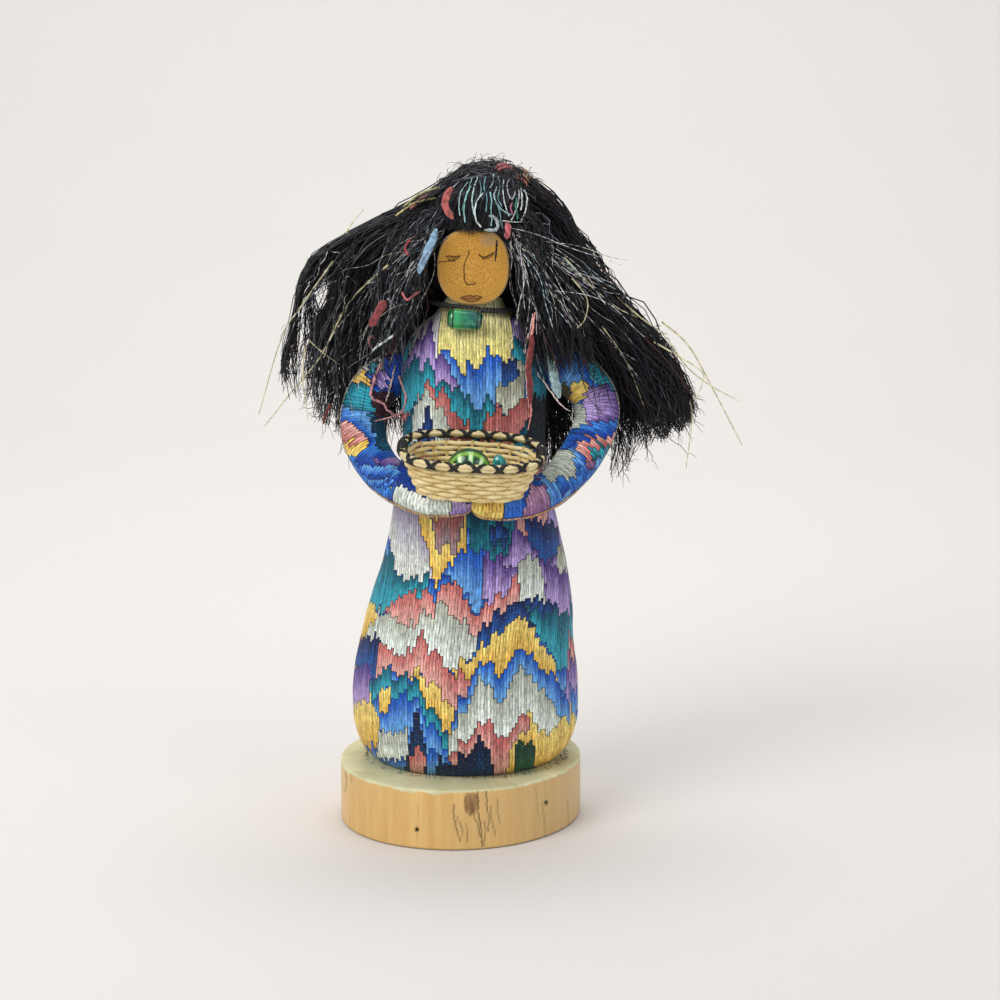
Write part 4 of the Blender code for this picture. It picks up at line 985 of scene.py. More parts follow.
def nearest_place(places, stroke):
    """The point of a drawn line that is nearest to each place, and how far off it is."""
    least = np.full(places.shape[:-1], 1e9)
    point = np.zeros(places.shape)
    for a, b in zip(stroke, stroke[1:]):
        a, b = np.array(a, float), np.array(b, float)
        share = np.clip(((places - a) @ (b - a)) / max(float((b - a) @ (b - a)), 1e-9), 0, 1)
        spot = a + share[..., None] * (b - a)
        far = np.linalg.norm(places - spot, axis=-1)
        nearer = far < least
        least = np.where(nearer, far, least)
        point[nearer] = spot[nearer]
    return point, least


def shortened(routes, ends):
    """Each route, cut off at its own station number."""
    stations = routes.shape[1]
    t = np.linspace(0, 1, stations)[None, :] * ends[:, None]
    low = np.minimum(t.astype(int), stations - 2)
    rows = np.arange(len(routes))[:, None]
    part = (t - low)[..., None]
    return routes[rows, low] * (1 - part) + routes[rows, low + 1] * part


def trimmed(routes, random, slack=2.2, inset=0.0, ragged=7.0, parting=1.0):
    """Strands cut short where they would hide bare cloth or hang too low, and drawn in to the hair's edge."""
    count, stations = routes.shape[:2]
    edge = HAIR_EDGE + HAIR_EDGE[:1]
    hanging_from = 385
    allowed = random.exponential(slack, (count, 1)) - inset
    deep = random.exponential(ragged, (count, 1))
    places = in_photo(routes)
    spot, far = nearest_place(places, edge)
    stop = ~inside(HAIR_EDGE, places) & (far > allowed + 3.0) & (spot[..., 1] > hanging_from)
    for zone in BARE:
        within = inside(zone, places)
        depth = nearest_place(places, zone[:-2])[1]
        stop |= within & (depth > deep) & (routes[..., 1] < 0.0)
    first = np.where(stop.any(1), stop.argmax(1) - random.uniform(0, 1, count), stations - 1.0)
    keep = first > 2.5
    routes, allowed = shortened(routes[keep], first[keep]), allowed[keep]
    places = in_photo(routes)
    spot, far = nearest_place(places, edge)
    outer = ~inside(HAIR_EDGE, places)
    far = np.where(outer, far, -far)
    move = np.maximum(far - allowed, 0.0)
    way = np.where(outer[..., None], spot - places, places - spot)
    way = way / np.maximum(np.linalg.norm(way, axis=-1, keepdims=True), 1e-6)
    shift = way * move[..., None]
    # strands part round the gap
    away = places + shift - GAP_MIDDLE
    down = away @ GAP_ALONG / GAP_HALF[1]
    across = away @ GAP_ACROSS
    wide = parting * GAP_HALF[0] * np.sqrt(np.clip(1 - down**2, 0, 1)) * random.normal(1.0, 0.12, (len(routes), 1))
    rows = np.arange(len(routes))
    way = np.sign(across[rows, np.abs(down).argmin(1)])[:, None]
    part = np.sqrt(across**2 + wide**2) - np.abs(across)
    part = part * way * (random.uniform(0, 1, (len(routes), 1)) > 0.03)
    shift = shift + part[..., None] * GAP_ACROSS
    size = ((routes - np.array(CAMERA_PLACE)) @ FORWARD / FOCUS)[..., None]
    routes = routes + shift[..., :1] * size * np.array((1.0, 0.0, 0.0)) - shift[..., 1:] * size * UPWARD
    return routes, keep


def thread_material(name, roughness, specular, sheen=0.0, twist=0.0, shades=((0.38, 0.62), (0.62, 1.25))):
    """Threads take their colour from the mesh, with a little unevenness along them."""
    thread = Material(name, roughness=roughness, specular=specular, sheen=sheen)
    shade = thread.ramp(thread.noise(420.0, detail=2), *shades)
    thread.base(thread.mix(1.0, thread.attribute("tint"), shade, "MULTIPLY"))
    thread.rough(thread.ramp(thread.noise(160.0), (0.3, roughness - 0.08), (0.7, roughness + 0.12)))
    if twist:
        thread.bump(thread.noise((twist, twist, twist * 0.35), detail=3), 0.0002, 0.7)
    return thread


def lock_radius(t, thick):
    """A lock is narrow at the knot, full a third of the way down and thin at its tip."""
    at_knot, at_tip, full_until = 0.62, 0.45, 0.8
    t = np.clip(t, 0, 1)
    swell = np.where(t < full_until, np.sin(math.pi * np.minimum(t / full_until, 1.0) ** 0.7), 0.0)
    ends = at_knot + (at_tip - at_knot) * t
    return thick * (ends + (1 - ends) * swell)


def lock_strands(corners, thick, count, random, wave, ragged=0.10, fill=(0.56, 1.0), stray=0.08, stations=13):
    """Strands that follow one lock, spread over its thickness, each with its own waves and length."""
    # the lock's middle line, drawn out beyond its tip for the longest strands
    dense = bezier(corners, 60)
    tail = dense[-1] + (dense[-1] - dense[-4]) / 3 * np.arange(1, 13)[:, None]
    dense = np.concatenate((dense, tail))
    place = np.arange(len(dense)) / 60.0
    along = unit(np.gradient(dense, axis=0))
    side = unit(np.cross(along, np.array((0.1, 1.0, 0.15))))
    front = np.cross(side, along)
    length = np.clip(1.0 - np.abs(random.normal(0, ragged, count)) + random.normal(0, 0.035, count), 0.5, 1.12)
    t = np.linspace(0, 1, stations)[None, :] * length[:, None]

    def read(table):
        return np.stack([np.interp(t, place, table[:, k]) for k in range(3)], -1)

    angle = random.uniform(0, 2 * math.pi, count)
    reach = np.sqrt(random.uniform(fill[0] ** 2, fill[1] ** 2, count))
    loose = random.uniform(0, 1, count) < stray
    reach = np.where(loose, random.uniform(0.9, 1.45, count), reach)
    radius = lock_radius(t, thick) * reach[:, None] * (0.35 + 0.65 * np.clip(t / 0.18, 0, 1))
    sway = random.normal(0, 0.34, (count, 2)) * thick
    # strands cling together in tufts, which part from each other towards the tips
    tufts = random.normal(0, 0.55, (9, 2)) * thick
    sway = sway * 0.7 + tufts[random.integers(0, 9, count)]
    waves = np.zeros((count, stations, 2))
    for turns, size in ((1.7, 1.0), (3.9, 0.55), (8.3, 0.25)):
        phase = random.uniform(0, 2 * math.pi, (count, 1, 2))
        speed = turns * random.uniform(0.7, 1.3, (count, 1, 2))
        waves += size * np.sin(2 * math.pi * speed * t[..., None] + phase)
    grow = (0.15 + t)[..., None] * np.clip(t / 0.1, 0, 1)[..., None]
    curl = random.normal(0, 0.0022, (count, 1, 2))
    curl = curl * np.sin(2 * math.pi * random.uniform(1.5, 3.5, (count, 1, 1)) * t[..., None])
    waves = waves * wave + curl * (t**3)[..., None]
    offset = waves * grow * np.where(loose, 1.9, 1.0)[:, None, None] + sway[:, None, :] * (t**2)[..., None]
    across = radius * np.cos(angle)[:, None] + offset[..., 0]
    deep = radius * np.sin(angle)[:, None] + offset[..., 1]
    return read(dense) + read(side) * across[..., None] + read(front) * deep[..., None]


def hair_tints(count, random, light=0.10):
    """Blue-black strands, with a few reddish ones and a few grey ones, which stand partly for the sheen on the hair:
    painted highlight.
    """
    base = np.array((0.0048, 0.0056, 0.0090)) * random.uniform(0.4, 2.0, (count, 1))
    pick = random.uniform(0, 1, count)
    pale = pick > 1 - light
    base[pale] = np.array((0.064, 0.070, 0.080)) * random.uniform(0.4, 2.8, (int(pale.sum()), 1))
    base[pick < 0.03] = (0.060, 0.022, 0.018)
    return base


def strand_radii(count, stations, random, thick):
    """Radii of strands that thin towards their tips."""
    taper = np.interp(np.linspace(0, 1, stations), (0, 0.7, 1.0), (1.0, 0.9, 0.45))
    return thick * random.uniform(0.7, 1.25, (count, 1)) * taper[None, :]


def fanned_corners(side, shares, rise, reach, fall, rows):
    """The four corners of each lock's curve, for the locks that leave one knot."""
    knot = HEAD_CENTRE + np.array(shares) * np.array(HEAD_SIZE) / 2
    widest = max(row[0] for row in rows)
    corners = []
    for out, back, down, thick in rows:
        tip = knot + np.array((side * out, back, -down))
        first = knot + np.array((side * out * reach, back * 0.55, rise * out / widest))
        second = tip + np.array((0.0, back * 0.15, fall * down))
        corners.append(((knot, first, second, tip), thick))
    return corners


def back_corners():
    """The same for the locks that hang down the back of the head."""
    spread, depth, drop = 0.036, 0.031, 0.098
    corners = []
    for number in range(7):
        across = 2 * number / 6 - 1
        root = HEAD_CENTRE + np.array((across * HEAD_SIZE.x * 0.30, HEAD_SIZE.y * 0.30, HEAD_SIZE.z * 0.42))
        tip = HEAD_CENTRE + np.array((across * spread, depth - 0.006 * across**2, HEAD_SIZE.z * 0.3 - drop))
        first = root + np.array((across * spread * 0.4, depth * 0.75, 0.0))
        second = tip + np.array((0.0, 0.004, drop * 0.5))
        corners.append(((root, first, second, tip), 0.0100))
    return corners


# locks of the scene alone: the corners of each one's curve, and its radius
LEFT_EXTRAS = (
    # from the crown over the knot
    (((0.004, -0.004, 0.3180), (-0.018, -0.008, 0.320), (-0.036, -0.004, 0.300), (-0.060, 0.002, 0.250)), 0.0070),
    (((0.004, 0.006, 0.3160), (-0.020, 0.012, 0.318), (-0.044, 0.016, 0.300), (-0.074, 0.020, 0.240)), 0.0075),
    (((-0.004, -0.014, 0.3060), (-0.016, -0.020, 0.302), (-0.022, -0.020, 0.284), (-0.030, -0.020, 0.236)), 0.0055),
    # behind the armpit
    (((-0.008, 0.008, 0.300), (-0.026, 0.020, 0.296), (-0.040, 0.020, 0.250), (-0.040, 0.012, 0.192)), 0.0082),
)
RIGHT_EXTRAS = (
    (((0.024, -0.006, 0.3170), (0.050, -0.006, 0.312), (0.056, -0.004, 0.288), (0.066, 0.002, 0.240)), 0.0080),
    (((0.022, 0.006, 0.3180), (0.046, 0.010, 0.316), (0.060, 0.014, 0.290), (0.080, 0.018, 0.236)), 0.0085),
    (((0.024, -0.014, 0.3080), (0.038, -0.022, 0.306), (0.042, -0.022, 0.280), (0.046, -0.018, 0.226)), 0.0060),
    # behind the armpit
    (((0.014, 0.010, 0.300), (0.034, 0.022, 0.296), (0.048, 0.022, 0.240), (0.046, 0.012, 0.171)), 0.0096),
    (((0.012, 0.012, 0.300), (0.030, 0.028, 0.296), (0.040, 0.028, 0.240), (0.040, 0.020, 0.172)), 0.0100),
    (((0.016, 0.010, 0.300), (0.036, 0.024, 0.296), (0.054, 0.024, 0.245), (0.0535, 0.014, 0.176)), 0.0092),
)
OVER_KNOT = 3


def hair_strands(name, strands, random, thick, material, light=0.10):
    """A mesh of strands of hair, each with its own shade."""
    count, stations = strands.shape[:2]
    radii = strand_radii(count, stations, random, thick)
    ride(strand_mesh(name, strands, radii, material, colours=hair_tints(count, random, light)))


def hair_piece(name, locks, share, seed, material, wave, light):
    """One side of the hair: strands all round each of its locks, share of them in a lock 10 mm thick."""
    random = np.random.default_rng(seed)
    strands = [
        lock_strands(corners, radius, int(share * (radius / 0.010)), random, wave) for corners, radius in locks
    ]
    strands, _ = trimmed(np.concatenate(strands), random)
    hair_strands(name, strands, random, 0.00034, material, light)


def flyaways(count, random):
    """Short loose ends that stand off the crown."""
    crown = HEAD_CENTRE + np.array((0.0070, -0.002, 0.0231))
    turn = random.uniform(0, 2 * math.pi, count)
    high = random.uniform(math.radians(10), math.radians(85), count)
    way = np.stack((np.cos(turn) * np.cos(high), np.sin(turn) * np.cos(high), np.sin(high)), -1)
    start = crown + way * np.array((0.0255, 0.022, 0.0205))
    drift = unit(np.cross(way, random.normal(0, 1, (count, 3))))
    t = np.linspace(0, 1, 9)[None, :, None]
    reach = random.uniform(0.004, 0.012, (count, 1, 1))
    lift = random.uniform(0.002, 0.0065, (count, 1, 1))
    curl = random.normal(0, 0.0012, (count, 1, 3)) * np.sin(math.pi * t * 1.7)
    return start[:, None] + drift[:, None] * reach * t + way[:, None] * lift * np.sin(t * math.pi * 0.6) + curl


def edge_wisps(count, random):
    """Fine curled ends that stand out all along the edge of the hair."""
    tree = carrier_tree(("hair",))
    corners = np.array(HAIR_EDGE[:-3], float)
    steps = np.concatenate(([0], np.cumsum(np.linalg.norm(np.diff(corners, axis=0), axis=1))))
    spot = random.uniform(0, steps[-1], count)
    place = np.stack([np.interp(spot, steps, corners[:, k]) for k in range(2)], -1)
    ahead = np.stack([np.interp(spot + 1.0, steps, corners[:, k]) for k in range(2)], -1)
    along = unit(ahead - place)
    out = np.stack((along[:, 1], -along[:, 0]), -1)
    routes = []
    t = np.linspace(0, 1, 9)
    for i in range(count):
        root = place[i] - out[i] * random.uniform(3, 11)
        ray = Vector(from_photo(root[0], root[1], 0.0)) - CAMERA_PLACE
        ray.normalize()
        hit = tree.ray_cast(CAMERA_PLACE, ray)[0]
        if hit is None:
            continue
        hanging = place[i][1] > 380
        reach = random.uniform(6, 22 if hanging else 13)
        way = out[i] * random.uniform(0.5, 1.0) + along[i] * random.normal(0, 0.7) + np.array((0, 0.45))
        curl = random.uniform(0.8, 3.0)
        turn = random.uniform(0, 6.3) + 2 * math.pi * curl * t
        wide = (random.uniform(0.4, 2.2) * t)[:, None]
        path = root + way * (reach * t)[:, None] + np.stack((np.cos(turn), np.sin(turn)), -1) * wide
        depth = hit.y + random.uniform(0.001, 0.008) + random.normal(0, 0.004) * t
        routes.append([tuple(from_photo(a, b, y)) for (a, b), y in zip(path, depth)])
    return np.array(routes)


def hair_cores(locks, material):
    """A dark core in each lock, under its strands."""
    stations = 14
    routes = np.array([bezier(corners, stations) for corners, _ in locks])
    routes, keep = trimmed(routes, np.random.default_rng(30), slack=0.1, inset=13.0, ragged=0.5, parting=2.4)
    t = np.linspace(0, 1, stations + 1)
    thin = np.interp(t, (0, 0.06, 0.6, 0.85, 1.0), (0.5, 0.64, 0.44, 0.20, 0.03))
    radii = np.array([lock_radius(t, thick) * thin for _, thick in locks])[keep]
    dark = np.full((len(routes), 3), 0.004)
    ride(strand_mesh("hair_cores", routes, radii, material, sides=10, colours=dark), "hair")


def ellipsoid_arcs(centre, size, count, random, tilt, wave, spread, stations=15):
    """Strands that run over a ball from its left to its right, at tilts from the front to the back."""
    u = np.linspace(0, 1, stations)[None, :] * random.uniform(0.8, 1.0, (count, 1)) + random.uniform(0, 0.1, (count, 1))
    lean = np.radians(random.uniform(tilt[0], tilt[1], (count, 1)))
    skew = random.normal(0, 0.22, (count, 1))
    lean = lean + skew * np.cos(math.pi * u)
    x = -np.cos(math.pi * u)
    y = np.sin(math.pi * u) * -np.sin(lean)
    z = np.sin(math.pi * u) * np.cos(lean)
    lift = random.uniform(1 - spread, 1.02, (count, 1, 1))
    points = np.stack((x, y, z), -1) * np.array(size) / 2 * lift
    for turns, amount in ((2.0, 1.0), (5.0, 0.5)):
        phase = random.uniform(0, 6.3, (count, 1, 3))
        points = points + wave * amount * np.sin(2 * math.pi * turns * u[..., None] + phase)
    return points + np.array(centre)


def core_ball(name, centre, size, material):
    """A dark ball under the strands, cut back so that it stops behind the face and above it."""
    rows, cols = 14, 28
    face_top, face_half, behind_face = 0.3005, 0.019, -0.0140
    points, faces = [], []
    for i in range(rows + 1):
        high = math.pi * i / rows
        for j in range(cols):
            turn = 2 * math.pi * j / cols
            way = np.array((math.sin(high) * math.cos(turn), math.sin(high) * math.sin(turn), math.cos(high)))
            p = centre + way * np.array(size) / 2
            if p[2] < face_top and abs(p[0] - HEAD_CENTRE[0]) < face_half:
                p[1] = max(p[1], behind_face)
            points.append(p)
    for i in range(rows):
        for j in range(cols):
            nxt = (j + 1) % cols
            faces.append([i * cols + j, (i + 1) * cols + j, (i + 1) * cols + nxt, i * cols + nxt])
    ball = mesh_object(name, points, faces, material)
    write_colours(ball, "tint", np.tile((0.006, 0.006, 0.008, 1.0), len(points)))
    ride(ball)


def make_hair():
    hair = thread_material("black_hair", 0.38, 0.42)
    left = fanned_corners(-1, LEFT_KNOT, -0.003, 0.80, 0.70, LEFT_LOCKS)
    right = fanned_corners(1, RIGHT_KNOT, -0.036, 0.45, 0.30, RIGHT_LOCKS)
    back = back_corners()
    # the three outer locks on the left are thin enough to see through, so they have no core
    armpits = list(RIGHT_EXTRAS[OVER_KNOT:]) + list(LEFT_EXTRAS[OVER_KNOT:])
    hair_cores(left[3:] + right + back + armpits, hair)
    hair_piece("hair_left", left + list(LEFT_EXTRAS), 178, 31, hair, 0.0024, 0.16)
    hair_piece("hair_right", right + list(RIGHT_EXTRAS), 176, 32, hair, 0.0029, 0.06)
    hair_piece("hair_back", back, 165, 33, hair, 0.0019, 0.09)
    random = np.random.default_rng(34)
    crown = HEAD_CENTRE + np.array((0.0070, -0.004, 0.0231))
    cap_size = np.array(HEAD_SIZE) + 0.013
    arcs = ellipsoid_arcs(crown, (0.053, 0.046, 0.043), 560, random, (-125, 62), 0.0011, 0.14)
    cap = ellipsoid_arcs(HEAD_CENTRE + np.array((0, 0.0045, 0)), cap_size, 350, random, (-175, 8), 0.0008, 0.10)
    arcs, _ = trimmed(arcs, random, slack=1.5)
    hair_strands("hair_crown", np.concatenate((arcs, cap)), random, 0.00036, hair)
    loose, _ = trimmed(flyaways(420, random), random, slack=4.5)
    hair_strands("hair_wisps", np.concatenate((loose, edge_wisps(560, random))), random, 0.00016, hair)
    core_ball("hair_crown_core", crown, (0.049, 0.042, 0.039), hair)
    core_ball("hair_cap_core", HEAD_CENTRE + np.array((0, 0.0045, 0.001)), cap_size - 0.004, hair)


# ---------------------------------------------------------------- threads, yarns and straws laid on the doll
def laid(places, lift=0.0012, over=0.0, steep=0.8):
    """Points on the front of the doll at these places of the photo; off its edge they keep the last depth."""
    eye = CAMERA_PLACE
    found = []
    for across, down in places:
        ray = Vector(from_photo(across, down, 0.0)) - eye
        ray.normalize()
        bare = any(bool(inside(zone, np.array((across, down), float))) for zone in BARE)
        hit = (CLOTH_CARRIERS if bare else CARRIERS).ray_cast(eye, ray)[0]
        found.append(None if hit is None else hit - ray * (lift + (0.0 if bare else over)))
    last = next((p.y for p in found if p is not None), -0.010)
    depths = []
    for point in found:
        last = last if point is None else point.y
        depths.append(last)
    # a thread bridges the dips between the strands that it lies on
    spots = np.array(places, float)
    apart = np.linalg.norm(spots[:, None] - spots[None], axis=-1) * 0.0005
    depths = (np.array(depths)[None] + apart * steep).min(1)
    return np.array([tuple(from_photo(across, down, y)) for (across, down), y in zip(places, depths)])


YARNS = (
    # (colour, thickness, places)
    ((146, 178, 206), 0.0034, ((436, 230), (430, 246), (424, 260), (419, 273))),
    ((176, 76, 78), 0.0009, ((410, 240), (405, 248), (409, 256))),
    ((142, 66, 70), 0.0036, ((385, 302), (378, 312), (371, 326))),
    ((164, 92, 96), 0.0036, ((400, 328), (395, 340), (389, 355))),
    ((214, 226, 226), 0.0010, ((388, 298), (400, 314), (403, 325), (390, 338), (378, 346), (370, 354))),
    ((230, 160, 160), 0.0009, ((372, 350), (369, 341), (373, 336), (377, 342))),
    ((238, 170, 172), 0.0010, ((386, 356), (377, 372), (371, 396), (384, 404), (387, 410), (401, 419))),
    ((240, 178, 176), 0.0009, ((391, 357), (402, 384), (406, 398), (402, 412), (388, 418), (374, 421))),
    ((206, 186, 176), 0.0006, ((395, 366), (390, 388), (386, 402))),
    ((214, 120, 120), 0.0008, ((402, 292), (407, 300), (415, 294), (420, 291))),
    ((138, 64, 62), 0.0027, ((532, 336), (531, 352), (529, 366), (530, 384), (530, 404))),
    ((224, 150, 140), 0.0008, ((535, 312), (531, 338), (527, 366), (531, 392), (531, 412), (528, 430))),
    ((236, 208, 200), 0.0006, ((533, 314), (530, 330), (524, 352), (526, 372), (527, 398))),
    ((236, 216, 208), 0.0006, ((526, 356), (538, 374), (551, 392), (560, 404), (570, 411))),
    ((196, 230, 234), 0.0046, ((548, 352), (551, 366), (555, 382), (559, 397))),
    ((172, 92, 88), 0.0029, ((451, 188), (446, 197), (446, 208), (453, 218))),
    ((196, 104, 114), 0.0027, ((508, 224), (508, 231), (507, 238))),
    ((210, 228, 232), 0.0012, ((490, 215), (496, 219), (498, 225), (495, 230), (485, 230))),
    ((150, 84, 92), 0.0011, ((495, 168), (503, 164), (511, 168), (517, 175))),
    ((168, 92, 96), 0.0008, ((498, 170), (506, 167), (514, 172))),
    ((196, 150, 118), 0.0007, ((518, 172), (525, 170), (531, 179))),
    ((196, 150, 118), 0.0007, ((516, 175), (524, 175), (529, 182))),
    ((206, 120, 92), 0.0007, ((517, 178), (523, 179), (527, 185))),
    ((150, 92, 78), 0.0009, ((410, 209), (422, 198), (438, 191))),
    ((196, 188, 126), 0.0006, ((404, 206), (420, 194), (440, 187))),
    ((196, 188, 126), 0.0006, ((396, 216), (414, 203), (436, 198))),
    ((120, 52, 44), 0.0010, ((331, 404), (327, 412), (323, 424))),
    ((22, 18, 20), 0.0007, ((497, 240), (496.4, 250), (495.6, 261))),
)
# threads looped over the crown: (colour, thickness, places)
LOOPS = (
    ((214, 226, 228), 0.0007, ((471, 173), (461, 180), (454, 187))),
    ((150, 206, 208), 0.0008, ((471, 186), (466, 196), (464, 208), (465, 222))),
    ((150, 206, 208), 0.0006, ((472, 178), (469, 189), (465, 201), (462, 210))),
    ((220, 232, 234), 0.0009, ((483, 193), (477, 201), (475, 211), (476, 220), (481, 227))),
    ((150, 200, 210), 0.0008, ((490, 192), (491.6, 200), (491, 210), (492, 219), (491, 226))),
    ((190, 214, 222), 0.0006, ((493.6, 174), (493, 182), (490, 188))),
    ((176, 214, 216), 0.0008, ((497, 187), (494, 196), (497, 203), (502.5, 210), (511, 215))),
    ((228, 232, 236), 0.0010, ((512, 175), (517.5, 180), (521, 189), (522, 200), (521, 210))),
    ((224, 234, 234), 0.0010, ((524, 190), (527, 197), (526.4, 206), (524.4, 214), (521, 221))),
    ((206, 200, 220), 0.0006, ((507, 188), (508, 181), (512, 178))),
    ((206, 216, 226), 0.0007, ((507, 188), (508.7, 195), (512, 199), (515, 193), (514, 186), (512, 179))),
    ((60, 150, 124), 0.0009, ((517, 198), (515.5, 207), (517.5, 214), (517.5, 219))),
    ((204, 120, 150), 0.0008, ((512, 203), (510.7, 208), (512.7, 214))),
    ((226, 230, 222), 0.0005, ((502, 220.7), (515, 222), (526, 222), (539, 220.7))),
    ((210, 216, 210), 0.0005, ((524, 222), (537, 223.4), (549, 224))),
    ((140, 190, 196), 0.0007, ((495.7, 202), (499.8, 212), (501, 222), (502.5, 228))),
    ((196, 226, 230), 0.0008, ((478, 176), (474, 188), (472, 200), (474, 214))),
    ((120, 180, 190), 0.0006, ((486, 176), (484, 186), (487, 198), (486, 212))),
    ((210, 224, 230), 0.0007, ((504, 178), (503, 190), (505, 204), (509, 216))),
    ((176, 206, 214), 0.0006, ((468, 182), (461, 192), (459, 204), (460, 216))),
    ((230, 236, 238), 0.0006, ((518, 186), (519, 198), (516, 210), (511, 221))),
    ((130, 180, 186), 0.0005, ((480, 180), (481, 190), (479, 200))),
    ((150, 196, 204), 0.0006, ((498, 176), (500, 186), (498, 198), (502, 206))),
)
# straws: (thickness, places)
STRAWS = (
    (0.0007, ((388, 265), (356, 294), (340, 318), (321, 356), (290, 394), (264, 427))),
    (0.0006, ((333, 261), (300, 308), (281, 339), (259, 414))),
    (0.0005, ((308, 339), (322, 352), (343, 367))),
    (0.0005, ((305, 346), (303, 380), (308, 420))),
    (0.0005, ((346, 233), (353, 222), (364, 209))),
    (0.0007, ((574, 248), (593, 272), (635, 313), (665, 336), (686, 366), (711, 386), (740, 401))),
    (0.0006, ((564, 257), (590, 285), (616, 307), (637, 317))),
    (0.0007, ((662, 322), (688, 345), (713, 389), (742, 445))),
    (0.0006, ((654, 342), (700, 370), (702, 384), (695, 399))),
    (0.0005, ((690, 402), (692, 420), (686, 468))),
    (0.0006, ((572, 278), (587, 299), (585, 319), (577, 328))),
    (0.0005, ((602, 326), (627, 363), (648, 418))),
)


def resampled(points, stations):
    """Evenly spaced points on a smooth curve through these."""
    fine = catmull_rom(points, 60) if len(points) > 2 else np.linspace(points[0], points[1], 61)
    steps = np.concatenate(([0], np.cumsum(np.linalg.norm(np.diff(fine, axis=0), axis=1))))
    return np.stack([np.interp(np.linspace(0, steps[-1], stations), steps, fine[:, k]) for k in range(3)], -1)


# light threads beside the face: up to which number, how the start is drawn and its limits across and down,
# whether the end is measured from the start, and its limits across and down
SILVER = (
    (13, "normal", ((513, 5), (242, 7)), False, ((508, 560), (290, 392))),
    (34, "normal", ((516, 5), (238, 6)), True, ((30, 120), (25, 90))),
    (58, "normal", ((434, 6), (236, 8)), False, ((340, 425), (270, 350))),
    (68, "uniform", ((516, 560), (225, 300)), True, ((20, 110), (40, 100))),
    (94, "uniform", ((330, 410), (250, 330)), True, ((-70, 5), (30, 90))),
)
SILVER_COUNT = SILVER[-1][0]
SILVER_TONES = ((226, 230, 234), (190, 214, 224), (216, 208, 216), (228, 224, 208))
FRINGE_COUNT = 364


def make_yarns(random):
    """Slubs and fine yarns on the hair and the chest, and threads looped over the crown."""
    yarn = thread_material("yarn", 0.75, 0.3, sheen=0.2, twist=900.0)
    stations = 26
    even = np.linspace(0, 1, stations)
    routes, radii, colours = [], [], []

    def add_ply(route, turn, wide, radius, colour, shades):
        wind = np.stack((np.cos(turn), np.zeros(stations), np.sin(turn)), -1)
        routes.append(route + wind * (wide * np.ones(stations))[:, None])
        radii.append(radius * np.ones(stations))
        shade = random.uniform(*shades)
        colours.append([linear(v) * shade for v in colour])

    for colour, thick, places in YARNS:
        slub = thick > 0.0019
        over, steep = (0.0066, 0.25) if slub else (0.0036, 0.8)
        route = resampled(laid(places, thick * 0.8 + 0.0004, over, steep), stations)
        route += random.normal(0, 0.00012, route.shape)
        taper = np.interp(even, (0, 0.12, 0.85, 1), (0.55, 1.0, 0.95, 0.4))
        lumps = 1 + 0.16 * np.sin(even * 25 + random.uniform(0, 6))
        # a slub is a loose bundle of fibres, and a fine yarn has two plies
        plies, turns, spread, share = (12, 0.7, 0.40, 0.20) if slub else (2, len(places) * 1.6, 0.3, 0.55)
        for ply in range(plies):
            turn = 2 * math.pi * (even * turns + ply / plies) + random.normal(0, 0.1, stations)
            wide = thick * spread * (taper * random.uniform(0.55, 1.1) if slub else 1.0)
            add_ply(route, turn, wide, thick * share * taper * lumps, colour, (0.6, 1.15))
    for colour, thick, places in LOOPS:
        thick *= 0.74
        route = resampled(laid(places, 0.0010, over=0.0016), stations)
        route += random.normal(0, 0.00008, route.shape)
        for ply in range(2):
            turn = 2 * math.pi * (even * len(places) * 2.2 + ply / 2)
            add_ply(route, turn, thick * 0.3, thick * 0.42, colour, (0.7, 1.05))
    ride(strand_mesh("coloured_yarns", routes, np.array(radii), yarn, sides=5, colours=colours))


def make_straws(random):
    straw = thread_material("straw", 0.5, 0.4)
    stations = 20
    routes, radii, colours = [], [], []
    for thick, places in STRAWS:
        routes.append(resampled(laid(places, 0.0006, over=0.0026), stations))
        radii.append(thick * np.linspace(0.78, 0.36, stations))
        shade = random.uniform(0.85, 1.1)
        colours.append([linear(v) * shade for v in (208, 200, 160)])
    ride(strand_mesh("straws", routes, np.array(radii), straw, sides=6, colours=colours))


def silver_line(number, random):
    """Start, middle and end in the photo of a light thread beside the face."""
    how, starts, from_start, ends = next(row[1:] for row in SILVER if number < row[0])
    start = np.array([getattr(random, how)(*limits) for limits in starts])
    end = np.array([random.uniform(*limits) for limits in ends]) + (start if from_start else 0.0)
    bow = random.normal(0, 7, 2)
    return start, (start + end) / 2 + bow + np.array((2.0 if number < 56 else -2.0, -4.0)), end


def fringe_line(random):
    """The same for a thread of the black hair of the crown, down to the top of the face."""
    turn = random.uniform(-1, 1)
    start = np.array((492 + turn * 30, random.uniform(166, 180)))
    end = np.array((474 + turn * 46, 230 - 12 * turn**2 + random.normal(0, 2.2)))
    bow = random.normal(0, 7, 2)
    return start, start + (end - start) * np.array((0.75, 0.45)) + bow * 0.3, end


